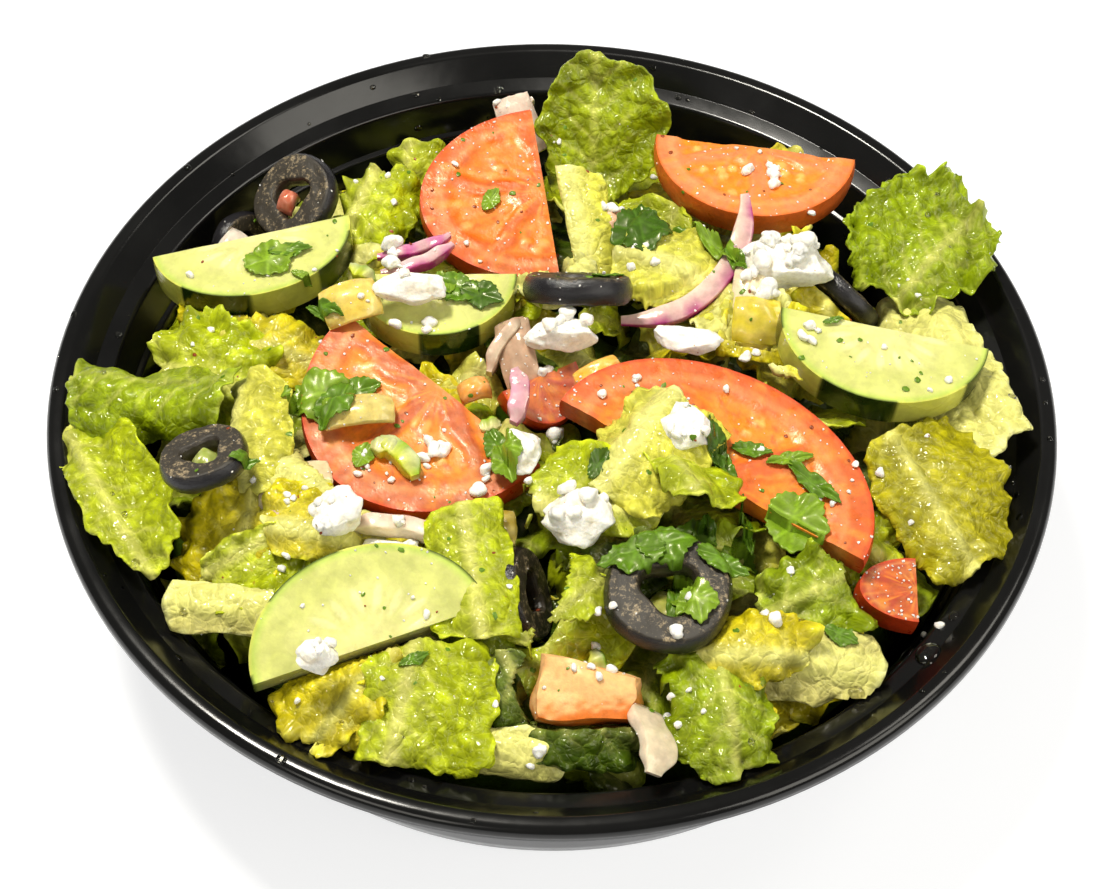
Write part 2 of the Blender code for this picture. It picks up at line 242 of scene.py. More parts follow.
half_wall = BOWL_WALL / 2
ledge = bowl_top - LEDGE_DROP - half_wall
step = ledge - STEP_DROP
# How far out, how high and how rounded each corner of the wall's middle line is, rim first.
bowl_corners = [
    (bowl_rim - half_wall, bowl_top - 2.6, 0),
    (bowl_rim - half_wall, bowl_top - half_wall, 1.3),
    (bowl_rim - 2.9, bowl_top - half_wall, 0.9),
    (bowl_rim - 6.6, ledge + 0.9, 0.6),
    (bowl_rim - 9.8, ledge, 0.8),
    (bowl_rim - 11.7, step + 0.2, 0.5),
    (bowl_rim - 12.7, step - 0.2, 0.5),
    (bowl_rim - 17.0, half_wall, FOOT_ROUNDING),
    (bowl_rim - 32.0, half_wall, 0.8),
    (bowl_rim - 33.5, half_wall + STANDING_RING, 0.8),
    (0, half_wall + STANDING_RING, 0),
]
bm = bmesh.new()
wall_verts = [bm.verts.new((point.x, 0, point.y)) for point in rounded_path(bowl_corners, steps=4)]
wall_edges = [bm.edges.new(pair) for pair in zip(wall_verts, wall_verts[1:])]
bmesh.ops.spin(
    bm,
    geom=wall_verts + wall_edges,
    cent=(0, 0, 0),
    axis=(0, 0, 1),
    angle=math.tau,
    steps=BOWL_TURNS,
    use_merge=True,
)
bmesh.ops.remove_doubles(bm, verts=bm.verts, dist=1e-3)
bmesh.ops.recalc_face_normals(bm, faces=bm.faces)
bowl = finish_piece("take_out_bowl", bm, black_plastic, "black_plastic", ["bowl"], smooth_angle=60)
bowl_solid = bowl.modifiers.new("wall", "SOLIDIFY")
bowl_solid.thickness = BOWL_WALL * MM
bowl_solid.offset = 0
bowl_solid.use_even_offset = True

# ---------------------------------------------------------------------------------------------
# Tomato slices and one thick chunk. Wet orange-red flesh with radial streaks, chambers of orange
# jelly with seeds, and a thin red skin on the rounded side. The slices are cut about 5 mm thick.

TOMATO_THICKNESS = 5.2
RED_SKIN = (0.58, 0.05, 0.008)
ORANGE_SKIN = (0.68, 0.13, 0.015)
TOMATO_PALE = (0.72, 0.25, 0.03)
TOMATO_JELLY = (0.86, 0.24, 0.015)
TOMATO_SEED = (0.88, 0.48, 0.12)

# Node, azimuth of the rounded side, lean, leaning toward, length, depth, turn of the chambers,
# colour of the flesh and of the skin, how much the chambers show.
TOMATOES = [
    ("tomato_back_left", 190, 14, -90, 37, 24, 0.3, (0.56, 0.085, 0.003), RED_SKIN, 0.55),
    ("tomato_back_right", -98, 2, -90, 39, 18, 0.9, (0.74, 0.22, 0.08), ORANGE_SKIN, 0.95),
    ("tomato_left", -130, 8, -90, 47, 26, 0.1, (0.50, 0.10, 0.03), RED_SKIN, 0.85),
    ("tomato_right", 60, 8, -90, 60, 22, 0.5, (0.62, 0.105, 0.02), RED_SKIN, 0.9),
    ("tomato_centre", -60, 25, -60, 15, 9, 0.2, (0.48, 0.10, 0.06), RED_SKIN, 0.3),
    ("tomato_dice", 180, 10, -60, 12, 10, 0.4, (0.42, 0.05, 0.02), RED_SKIN, 0.2),
]


def fade(value, low, high):
    """0 at low, 1 at high, and smooth between; low may be the larger."""
    share = max(0.0, min(1.0, (value - low) / (high - low)))
    return share * share * (3 - 2 * share)


def blend(a, b, share):
    """A colour between two others, or past them."""
    return tuple(x + (y - x) * share for x, y in zip(a, b))


def turned_to(azimuth, lean, toward):
    """Turns +X to an azimuth, then leans the top toward another, all in degrees."""
    turn = Matrix.Rotation(math.radians(toward), 4, "Z")
    turn @= Matrix.Rotation(math.radians(lean), 4, "Y")
    return turn @ Matrix.Rotation(math.radians(azimuth - toward), 4, "Z")


def lay_on_node(bm, node, azimuth, lean, toward):
    """Turns a flat bmesh in millimetres, and moves its middle to the middle of a CAD node."""
    bmesh.ops.transform(bm, matrix=turned_to(azimuth, lean, toward), verts=bm.verts)
    low = Vector(min(v.co[i] for v in bm.verts) for i in range(3))
    high = Vector(max(v.co[i] for v in bm.verts) for i in range(3))
    node_low, node_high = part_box(node)
    bmesh.ops.translate(bm, vec=(node_low + node_high) / 2 / MM - (low + high) / 2, verts=bm.verts)


def half_slice(length, depth, thickness, rings, spokes, tone, bulge=0.3):
    """Half of an oval slice, rounded side toward +X, painted and embossed by tone(u, v)."""
    bm = bmesh.new()
    paint = bm.verts.layers.float_color.new("tone")
    bmesh.ops.create_grid(bm, x_segments=rings, y_segments=spokes, size=1)
    for vert in bm.verts:
        reach = (vert.co.x + 1) / 2
        angle = vert.co.y * math.pi / 2
        vert.co = (reach * math.cos(angle), reach * math.sin(angle), 0)
    below = bmesh.ops.extrude_face_region(bm, geom=bm.faces[:], use_keep_orig=True)["geom"]
    lower = [v for v in below if isinstance(v, bmesh.types.BMVert)]
    bmesh.ops.translate(bm, vec=(0, 0, -1), verts=lower)
    upright = [e for e in bm.edges if abs(e.verts[0].co.z - e.verts[1].co.z) > 0.5]
    bmesh.ops.subdivide_edges(bm, edges=upright, cuts=3, use_grid_fill=True)
    bmesh.ops.remove_doubles(bm, verts=bm.verts, dist=1e-5)
    for vert in bm.verts:
        u, v, level = vert.co
        colour, relief = tone(u, v)
        vert[paint] = (*colour, 1.0)
        side = 1 - (2 * level + 1) ** 2
        grown = 1 + bulge * side / depth * (1 if u * u + v * v > 0.98 else 0)
        vert.co.x = u * depth * grown
        vert.co.y = v * length / 2 * grown
        vert.co.z = level * thickness + (relief if level > -0.01 else 0)
    bmesh.ops.recalc_face_normals(bm, faces=bm.faces)
    return bm


def tomato_tone(seed, length, chambers, flesh_colour, skin_colour, wetness):
    """Gives the colour and relief of a tomato slice at u, v, where the skin is at radius 1."""

    def tone(u, v):
        radius = math.hypot(u, v)
        angle = math.atan2(v, u)
        waver = noise.noise(Vector((u * 3, v * 3, seed)))
        grain = noise.noise(Vector((u * length / 3, v * length / 3, seed + 5)))
        streak = noise.noise(Vector((angle * 9, radius * 2.0, seed)))
        flesh = blend(flesh_colour, TOMATO_PALE, 0.8 * fade(streak + 0.5 * grain, -0.15, 0.7))
        pith = math.exp(-(((radius - 0.84 - 0.03 * waver) / 0.035) ** 2))
        flesh = blend(flesh, (0.84, 0.42, 0.16), 0.35 * pith)
        sector = math.tau / 5
        local = ((angle + chambers * sector + 0.25 * waver) / sector) % 1.0
        partition = min(local, 1 - local) * sector * radius
        chamber = fade(radius, 0.80 + 0.06 * waver, 0.70 + 0.06 * waver)
        chamber *= fade(radius, 0.20 + 0.1 * waver, 0.32 + 0.1 * waver)
        chamber *= fade(partition, 0.05, 0.12) * wetness
        cell = noise.voronoi(Vector((u * length / 7, v * length / 7, seed)))[0]
        pip = fade(cell[0], 0.34, 0.22)
        jelly = blend(TOMATO_JELLY, flesh_colour, fade(grain, 0.0, 0.7))
        jelly = blend(jelly, TOMATO_SEED, pip * 0.85)
        colour = blend(flesh, jelly, chamber)
        colour = blend(colour, TOMATO_PALE, 0.6 * fade(radius, 0.22, 0.05))
        colour = blend(colour, skin_colour, fade(radius, 0.965, 0.99))
        relief = -0.6 * chamber * (1 - 0.6 * pip) + 0.10 * grain
        return colour, relief

    return tone


def wet_material(name, grain_size, grain_depth, roughness, softness, soft_radius, speckle=None, coat=0.0):
    """Wet food: its painted tone with fine mottling, some light under the surface, and a wet gloss.

    The grain is in millimetres; speckle is the colour, spacing and share of the flecks.
    """
    material, shader, put = new_material(name)
    link = material.node_tree.links.new
    coordinates = put("TexCoord").outputs["Object"]
    painted = put("Attribute", {"attribute_name": "tone"}).outputs["Color"]
    mottle = put("TexNoise", Vector=coordinates, Scale=0.6 / (grain_size * MM), Detail=4.0, Roughness=0.6)
    shade = put("MapRange", Value=mottle.outputs["Fac"], From_Min=0.3, From_Max=0.7, To_Min=0.82, To_Max=1.16)
    toned = put(
        "Mix", {"data_type": "RGBA", "blend_type": "MULTIPLY"}, _0=1.0, _6=painted, _7=shade.outputs["Result"]
    ).outputs[2]
    if speckle:
        fleck_colour, fleck_size, fleck_share = speckle
        cells = put("TexVoronoi", Vector=coordinates, Scale=1 / (fleck_size * MM), Randomness=1.0)
        fleck = put(
            "MapRange", Value=cells.outputs["Distance"], From_Min=fleck_share, From_Max=fleck_share * 0.6
        )
        toned = put(
            "Mix", {"data_type": "RGBA"}, _0=fleck.outputs["Result"], _6=toned, _7=(*fleck_colour, 1.0)
        ).outputs[2]
    link(toned, shader.inputs["Base Color"])
    wetness = put("TexNoise", Vector=coordinates, Scale=0.25 / (grain_size * MM), Detail=3.0)
    gloss = put(
        "MapRange",
        Value=wetness.outputs["Fac"],
        From_Min=0.35,
        From_Max=0.65,
        To_Min=roughness * 0.6,
        To_Max=roughness * 1.5,
    )
    link(gloss.outputs["Result"], shader.inputs["Roughness"])
    fine = put("TexNoise", Vector=coordinates, Scale=1.2 / (grain_size * MM), Detail=3.0, Roughness=0.55)
    bump = put("Bump", Height=fine.outputs["Fac"], Strength=0.6, Distance=grain_depth * MM)
    link(bump.outputs["Normal"], shader.inputs["Normal"])
    shader.inputs["Subsurface Weight"].default_value = softness
    shader.inputs["Subsurface Radius"].default_value = soft_radius
    shader.inputs["Subsurface Scale"].default_value = 0.0015
    shader.inputs["Specular Tint"].default_value = (1.0, 0.92, 0.70, 1.0)
    shader.inputs["Coat Weight"].default_value = coat
    shader.inputs["Coat Roughness"].default_value = 0.08
    return material


tomato_flesh = wet_material("tomato_flesh", 0.9, 0.12, 0.44, 0.08, (1.0, 0.25, 0.04), coat=0.06)
for number, (node, azimuth, lean, toward, length, depth, *ripeness) in enumerate(TOMATOES):
    rings, spokes = (30, 90) if length > 20 else (14, 36)
    tone = tomato_tone(number, length, *ripeness)
    bm = half_slice(length, depth, TOMATO_THICKNESS, rings, spokes, tone)
    lay_on_node(bm, node, azimuth, lean, toward)
    finish_piece(node + "_slice", bm, tomato_flesh, "tomato", [node])

CHUNK_SIZE = Vector((16.8, 9.4, 8.4))
CHUNK_TOP = (0.90, 0.50, 0.20)
CHUNK_SIDE = (0.86, 0.34, 0.06)
CHUNK_SKIN = (0.76, 0.18, 0.02)


def tomato_chunk():
    """A thick rounded wedge, pale where it was cut and red on its skin side."""
    bm = bmesh.new()
    paint = bm.verts.layers.float_color.new("tone")
    bmesh.ops.create_cube(bm, size=1)
    bmesh.ops.subdivide_edges(bm, edges=bm.edges, cuts=22, use_grid_fill=True)
    half = CHUNK_SIZE / 2
    for vert in bm.verts:
        place = vert.co * 2 * 0.62 + vert.co.normalized() * 0.47
        lump = noise.noise(place * 1.1 + Vector((31, 7, 3)))
        grain = noise.noise(place * 5 + Vector((3, 17, 3)))
        x, y, z = place
        taper = 1 - 0.22 * x
        vert.co = Vector((x * half.x, y * half.y * taper, z * half.z)) * (1 + 0.16 * lump + 0.015 * grain)
        vert.co.z -= 0.020 * vert.co.x**2
        colour = blend(CHUNK_SIDE, CHUNK_TOP, fade(z + 0.5 * lump, -0.1, 0.8))
        colour = blend(colour, CHUNK_SKIN, fade(y - 0.3 * x + 0.6 * grain, -0.1, -1.0))
        vert[paint] = (*colour, 1.0)
    bmesh.ops.recalc_face_normals(bm, faces=bm.faces)
    return bm


bm = tomato_chunk()
lay_on_node(bm, "tomato_front", -6, 24, -90)
finish_piece("tomato_front_piece", bm, tomato_flesh, "tomato", ["tomato_front"])

# ---------------------------------------------------------------------------------------------
# Cucumber half slices. Pale wet flesh, a seed bed near the straight side, and peel that was
# shaved off in stripes, so the rounded side is dark green and pale in turn.

CUCUMBER_THICKNESS = 6.3
CUCUMBER_FLESH = (0.61, 0.63, 0.20)
CUCUMBER_HEART = (0.74, 0.72, 0.29)
CUCUMBER_RIND = (0.45, 0.60, 0.09)
CUCUMBER_PEEL = (0.012, 0.030, 0.003)
CUCUMBER_SHAVED = (0.62, 0.62, 0.11)

# Node, azimuth of the peel, lean, leaning toward, length, depth, turn of the peel's stripes.
CUCUMBERS = [
    ("cucumber_back_left", -73, 2, 180, 38, 15, 0.62),
    ("cucumber_centre", -88, 4, -90, 30, 14, 0.12),
    ("cucumber_front_left", 112, 20, -80, 41, 17, 0.0),
    ("cucumber_right", -100, 6, -60, 38, 16, 0.35),
]
SEED_SPACING = math.radians(21)
CUCUMBER_SEED = (0.88, 0.87, 0.48)
CUCUMBER_SEED_EDGE = (0.60, 0.63, 0.20)


def cucumber_tone(stripes, seed):
    """Gives the colour and relief of a cucumber slice at u, v, where the peel is at radius 1."""

    def tone(u, v):
        radius = math.hypot(u, v)
        angle = math.atan2(v, u)
        waver = noise.noise(Vector((u * 4, v * 4, seed)))
        colour = blend(CUCUMBER_HEART, CUCUMBER_FLESH, fade(radius + 0.1 * waver, 0.35, 0.75))
        colour = blend(colour, CUCUMBER_RIND, 0.75 * fade(radius, 0.90, 0.975))
        row = (angle / SEED_SPACING + 0.5) % 1.0 - 0.5
        seed_x = (radius - 0.46 - 0.04 * math.sin(angle * 9)) / 0.15
        seed_y = row * SEED_SPACING * radius / 0.045
        pip = math.hypot(seed_x, seed_y)
        colour = blend(colour, CUCUMBER_SEED, 0.35 * fade(pip, 1.0, 0.6))
        colour = blend(colour, CUCUMBER_SEED_EDGE, 0.35 * math.exp(-(((pip - 1.25) / 0.25) ** 2)))
        striped = math.sin(angle * 4.2 + stripes * math.tau + 0.1 * waver)
        peel = blend(CUCUMBER_SHAVED, CUCUMBER_PEEL, fade(striped, -0.06, 0.06))
        edge = 0.972 if striped > 0 else 0.99
        colour = blend(colour, peel, fade(radius, edge, edge + 0.012))
        relief = 0.08 * fade(pip, 1.0, 0.5) - 0.10 * fade(radius, 0.55, 0.3) + 0.06 * waver
        return colour, relief

    return tone


cucumber_flesh = wet_material("cucumber_flesh", 2.2, 0.12, 0.24, 0.35, (0.8, 1.0, 0.3), coat=0.25)
for number, (node, azimuth, lean, toward, length, depth, stripes) in enumerate(CUCUMBERS):
    bm = half_slice(length, depth, CUCUMBER_THICKNESS, 30, 90, cucumber_tone(stripes, number + 20), bulge=0.1)
    lay_on_node(bm, node, azimuth, lean, toward)
    finish_piece(node + "_slice", bm, cucumber_flesh, "cucumber", [node])

# ---------------------------------------------------------------------------------------------
# Olive rings. Ripe black olives, stoned and sliced: a glossy blue-black skin round a brown-grey
# cut face flecked with pale grains, and a hole the shape of the stone.

OLIVE_SKIN = (0.010, 0.009, 0.011)
OLIVE_FACE = (0.028, 0.022, 0.014)
OLIVE_HOLE_WALL = (0.035, 0.028, 0.020)
OLIVE_GRAIN = (0.40, 0.31, 0.18)

# Node, size, lean, leaning toward, turn of the hole.
OLIVES = [
    ("olive_back_left", 0.86, 36, 215, 20),
    ("olive_wall", 0.7, 70, -30, 0),
    ("olive_left", 0.76, 20, 130, 60),
    ("olive_top", 1.0, 44, 90, 0),
    ("olive_front", 1.05, 8, -90, 40),
    ("olive_right", 0.8, 60, 40, 0),
    ("olive_middle_front", 0.8, 66, 0, 0),
]
# Corners of a ring cut through: out from its axis, height and rounding.
olive_profile = [
    (4.3, 1.6, 0.5),
    (4.8, 2.4, 0.4),
    (9.6, 2.4, 0.6),
    (11.15, 0.0, 3.2),
    (9.6, -2.4, 0.6),
    (4.8, -2.4, 0.4),
    (4.3, -1.6, 0.5),
    (4.0, 0.0, 2.0),
]


def closed_rounded_path(corners, steps):
    """As rounded_path, for a closed outline."""
    before, after = (*corners[-1][:2], 0), (*corners[0][:2], 0)
    return rounded_path([before, *corners, after], steps)[1:-1]


def olive_ring(size, hole_turn, seed):
    """A slice of olive 22 mm across, made larger or smaller, its hole drawn in to three corners."""
    bm = bmesh.new()
    paint = bm.verts.layers.float_color.new("tone")
    outline = closed_rounded_path(olive_profile, steps=3)
    verts = [bm.verts.new((point.x, 0, point.y)) for point in outline]
    edges = [bm.edges.new((verts[i - 1], verts[i])) for i in range(len(verts))]
    bmesh.ops.spin(
        bm, geom=verts + edges, cent=(0, 0, 0), axis=(0, 0, 1), angle=math.tau, steps=64, use_merge=True
    )
    faces_between = [e for e in bm.edges if e.calc_length() > 1.6]
    bmesh.ops.subdivide_edges(bm, edges=faces_between, cuts=5, use_grid_fill=True)
    for vert in bm.verts:
        x, y, z = vert.co
        radius = math.hypot(x, y)
        angle = math.atan2(y, x)
        grain = noise.noise(Vector((x * 0.9, y * 0.9, z + seed)))
        on_face = fade(abs(z), 2.0, 2.3) * fade(radius, 10.15, 9.7)
        colour = blend(OLIVE_SKIN, OLIVE_FACE, on_face)
        colour = blend(colour, OLIVE_HOLE_WALL, fade(radius, 5.0, 4.5))
        vert[paint] = (*colour, on_face)
        pinch = 1 + 0.16 * math.cos(3 * (angle - math.radians(hole_turn))) * fade(radius, 7.0, 4.5)
        oval = 1 + 0.04 * math.cos(2 * angle + seed)
        vert.co.x = x * pinch * oval
        vert.co.y = y * pinch / oval
        vert.co.z += 0.22 * grain * on_face + 0.25 * noise.noise(Vector((x / 5, y / 5, seed)))
    bmesh.ops.scale(bm, vec=(size, size, size), verts=bm.verts)
    bmesh.ops.recalc_face_normals(bm, faces=bm.faces)
    return bm


olive_flesh, shader, put = new_material("olive_flesh")
link = olive_flesh.node_tree.links.new
coordinates = put("TexCoord").outputs["Object"]
olive_tone = put("Attribute", {"attribute_name": "tone"})
grains = put("TexNoise", Vector=coordinates, Scale=1500.0, Detail=5.0, Roughness=0.75).outputs["Fac"]
patches = put("TexNoise", Vector=coordinates, Scale=330.0, Detail=3.0, Roughness=0.6).outputs["Fac"]
grain_mix = put("Math", {"operation": "MULTIPLY_ADD"}, _0=patches, _1=0.6, _2=grains).outputs["Value"]
pale_grain = put("MapRange", Value=grain_mix, From_Min=0.84, From_Max=1.02).outputs["Result"]
on_face = put("Math", {"operation": "MULTIPLY"}, _0=pale_grain, _1=olive_tone.outputs["Alpha"])
speckled = put(
    "Mix",
    {"data_type": "RGBA"},
    _0=on_face.outputs["Value"],
    _6=olive_tone.outputs["Color"],
    _7=(*OLIVE_GRAIN, 1.0),
)
link(speckled.outputs[2], shader.inputs["Base Color"])
rough = put("MapRange", Value=olive_tone.outputs["Alpha"], To_Min=0.15, To_Max=0.50).outputs["Result"]
link(rough, shader.inputs["Roughness"])
pitted = put("Bump", Height=grains, Strength=0.5, Distance=0.00025)
link(pitted.outputs["Normal"], shader.inputs["Normal"])
for number, (node, size, lean, toward, hole_turn) in enumerate(OLIVES):
    bm = olive_ring(size, hole_turn, number)
    lay_on_node(bm, node, 0, lean, toward)
    finish_piece(node + "_ring", bm, olive_flesh, "olive", [node])

# ---------------------------------------------------------------------------------------------
# Red onion. Strips of its rings, white and wet inside, with a purple skin on the outer side of
# some and only a pink blush on others.

ONION_WHITE = (0.78, 0.66, 0.52)
ONION_PINK = (0.70, 0.42, 0.36)
ONION_PURPLE = (0.40, 0.035, 0.20)

# Node, azimuth of the curve's middle, lean, leaning toward, radius, degrees, height, width,
# colour outside and inside.
ONIONS = [
    ("onion_arc", -40, 16, -90, 24, 96, 2.4, 4.0, ONION_PURPLE, (0.76, 0.52, 0.44)),
    ("onion_purple_back", -70, 10, -90, 22, 38, 3.0, 2.4, ONION_PURPLE, (0.62, 0.22, 0.40)),
    ("onion_purple_front", -62, 10, -90, 24, 36, 3.0, 2.4, ONION_PURPLE, (0.70, 0.40, 0.50)),
    ("onion_purple_centre", 0, 14, -90, 12, 50, 4.0, 3.4, ONION_PURPLE, (0.66, 0.34, 0.44)),
    ("onion_left_front", 84, 6, -90, 30, 32, 3.6, 3.0, ONION_PINK, ONION_WHITE),
    ("onion_back", 150, 20, -90, 13, 50, 6.0, 2.4, ONION_PINK, ONION_WHITE),
    ("onion_front", 14, 56, 180, 15, 58, 6.6, 2.2, (0.72, 0.60, 0.42), ONION_WHITE),
    ("onion_wedge", 150, 20, -90, 20, 36, 6.0, 2.4, (0.46, 0.25, 0.16), (0.50, 0.36, 0.24)),
]


def onion_strip(radius, degrees, height, width, outer, inner, seed, steps=26):
    """A stretch of a ring's wall, bulging toward +X, thinner and paler at its ends."""
    bm = bmesh.new()
    paint = bm.verts.layers.float_color.new("tone")
    half_width, half_height = width / 2, height / 2
    corners = [(x, z, 0.45) for x, z in ((-1, -1), (1, -1), (1, 1), (-1, 1))]
    corners = [(x * half_width, z * half_height, r) for x, z, r in corners]
    outline = closed_rounded_path(corners, steps=2)
    end = bm.faces.new([bm.verts.new((radius + p.x, 0, p.y)) for p in outline])
    turn = Matrix.Rotation(math.radians(-degrees / 2), 3, "Z")
    bmesh.ops.rotate(bm, matrix=turn, verts=bm.verts)
    bmesh.ops.spin(
        bm, geom=[end], cent=(0, 0, 0), axis=(0, 0, 1), angle=math.radians(degrees), steps=steps
    )
    for vert in bm.verts:
        x, y, z = vert.co
        reach = math.hypot(x, y) - radius
        along = math.degrees(math.atan2(y, x)) / (degrees / 2)
        grain = noise.noise(Vector((x / 3, y / 3, z / 6 + seed)))
        colour = blend(inner, outer, fade(reach + 0.25 * grain, 0.1 * half_width, 0.9 * half_width))
        colour = blend(colour, ONION_WHITE, 0.5 * fade(abs(z) + grain, half_height * 0.7, half_height * 1.2))
        vert[paint] = (*colour, 1.0)
        taper = 1 - 0.55 * fade(abs(along), 0.55, 1.0)
        outward = Vector((x, y, 0)).normalized()
        vert.co = outward * (radius + reach * taper + 0.8 * noise.noise(Vector((along * 1.5, seed, 0))))
        vert.co.z = z * taper + 1.2 * noise.noise(Vector((along * 1.2, 0, seed)))
    bmesh.ops.recalc_face_normals(bm, faces=bm.faces)
    return bm


onion_flesh = wet_material("onion_flesh", 1.2, 0.10, 0.16, 0.45, (1.0, 0.7, 0.7), coat=0.4)
for number, (node, azimuth, lean, toward, radius, degrees, height, width, *colours) in enumerate(ONIONS):
    bm = onion_strip(radius, degrees, height, width, *colours, number + 40)
    lay_on_node(bm, node, azimuth, lean, toward)
    finish_piece(node + "_strip", bm, onion_flesh, "red_onion", [node])

# ---------------------------------------------------------------------------------------------
# Pepper. Small soft pieces of pickled yellow-green pepper, one side skin and one side flesh.

# Node, turn, lean, leaning toward, length, width, colour.
PEPPERS = [
    ("pepper_middle", 4, 14, -90, 13, 7, (0.42, 0.28, 0.012)),
    ("pepper_back_left", 20, 20, -90, 11, 8, (0.72, 0.50, 0.06)),
    ("pepper_right", 70, 30, -90, 8, 8, (0.70, 0.55, 0.10)),
    ("pepper_left", 10, 6, -90, 13, 6, (0.60, 0.46, 0.12)),
]


def bent_block(length, width, colour, seed, thickness=1.9, ends=(0.80, 0.72, 0.30)):
    """A small block with rounded sides, bent down at its ends and mottled with a second colour."""
    bm = bmesh.new()
    paint = bm.verts.layers.float_color.new("tone")
    bmesh.ops.create_cube(bm, size=1)
    bmesh.ops.subdivide_edges(bm, edges=bm.edges, cuts=9, use_grid_fill=True)
    for vert in bm.verts:
        u, v, w = vert.co * 2
        grain = noise.noise(Vector((u * 2, v * 2, w + seed)))
        round_off = 1 - 0.07 * (u * u * v * v) - 0.05 * abs(grain)
        x = u * length / 2 * (1 - 0.06 * w * w) * round_off
        y = v * width / 2 * (1 - 0.08 * w * w) * round_off
        z = w * thickness / 2 * (1 - 0.35 * max(abs(u), abs(v)) ** 6)
        vert.co = (x, y, z - 1.3 * u * u - 0.6 * v * v + 0.5 * grain)
        vert[paint] = (*blend(colour, ends, 0.30 + 0.5 * grain), 1.0)
    bmesh.ops.recalc_face_normals(bm, faces=bm.faces)
    return bm


pepper_flesh = wet_material("pepper_flesh", 1.0, 0.15, 0.18, 0.35, (1.0, 0.8, 0.2), coat=0.4)
for number, (node, turn, lean, toward, length, width, colour) in enumerate(PEPPERS):
    bm = bent_block(length, width, colour, number + 60)
    lay_on_node(bm, node, turn, lean, toward)
    finish_piece(node + "_piece", bm, pepper_flesh, "pepper", [node])

# ---------------------------------------------------------------------------------------------
# Feta. Moist white cheese broken by hand: lumps with rounded, crumbly breaks.

FETA_WHITE = (0.93, 0.91, 0.84)
FETA_CREVICE_SHADE = (0.80, 0.70, 0.50)
FETA_SPECK = (0.45, 0.16, 0.05)
FETA_BREAKS = 16
FETA_NODES = [name for name in frame["nodes"] if name.startswith("feta_")]


def feta_lump(width, depth, height, seed, fineness):
    """A ball broken along soft random planes, with a fine grain."""
    bm = bmesh.new()
    paint = bm.verts.layers.float_color.new("tone")
    bmesh.ops.create_icosphere(bm, subdivisions=fineness, radius=1)
    pick = random.Random(seed)
    breaks = []
    for _ in range(FETA_BREAKS):
        facing = Vector((pick.gauss(0, 1), pick.gauss(0, 1), pick.gauss(0, 1))).normalized()
        breaks.append((facing, pick.uniform(0.74, 1.0)))
    shift = Vector((seed * 7.1, seed * 3.3, 0))
    for vert in bm.verts:
        ball = vert.co * (1.10 + 0.35 * noise.noise(vert.co * 1.6 + shift))
        for facing, distance in breaks:
            over = ball.dot(facing) - distance
            if over > 0:
                ball = ball - facing * over * 0.85
        place = Vector((ball.x * width / 2, ball.y * depth / 2, ball.z * height / 2))
        lump = noise.noise(place / 2.6 + shift)
        crumb = noise.noise(place / 0.6 + shift)
        vert.co = place * (1 + 0.11 * lump + 0.03 * crumb)
        # Painted shade: the sunken places of each lump are tinted a darker, warmer grey.
        vert[paint] = (*blend(FETA_WHITE, FETA_CREVICE_SHADE, 0.5 * fade(-lump - 0.3 * crumb, 0.15, 0.6)), 1.0)
    return bm


feta_white = wet_material(
    "feta_white", 0.7, 0.30, 0.55, 0.45, (1.0, 0.9, 0.7), speckle=(FETA_SPECK, 2.2, 0.085)
)
for number, node in enumerate(sorted(FETA_NODES)):
    node_low, node_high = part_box(node)
    size = (node_high - node_low) / MM
    bm = feta_lump(size.x * 1.02, size.y * 1.02, size.z * 1.02, number, 5)
    bmesh.ops.translate(bm, vec=(node_low + node_high) / 2 / MM, verts=bm.verts)
    finish_piece(node + "_lump", bm, feta_white, "feta", [node])

# ---------------------------------------------------------------------------------------------
# Chopped romaine. Cut pieces of leaf, blistered between their veins and ruffled at the margin,
# yellow-green to nearly white toward the rib. The pieces named in the CAD model and the other
# large ones are placed one by one; smaller ones fill the gaps round a core painted near black,
# painted shade for the deep gaps between the leaves.

# Colours of the blade, named for how it looks.
GREEN = (0.28, 0.38, 0.002)
DEEP_GREEN = (0.30, 0.38, 0.002)
BRIGHT = (0.44, 0.52, 0.004)
YELLOW = (0.64, 0.54, 0.003)
PALE = (0.66, 0.64, 0.065)
RIB_WHITE = (0.74, 0.72, 0.20)
DARK = (0.05, 0.10, 0.001)
CLEAR_PALE = (0.62, 0.57, 0.17)
AMBER = (0.42, 0.385, 0.003)

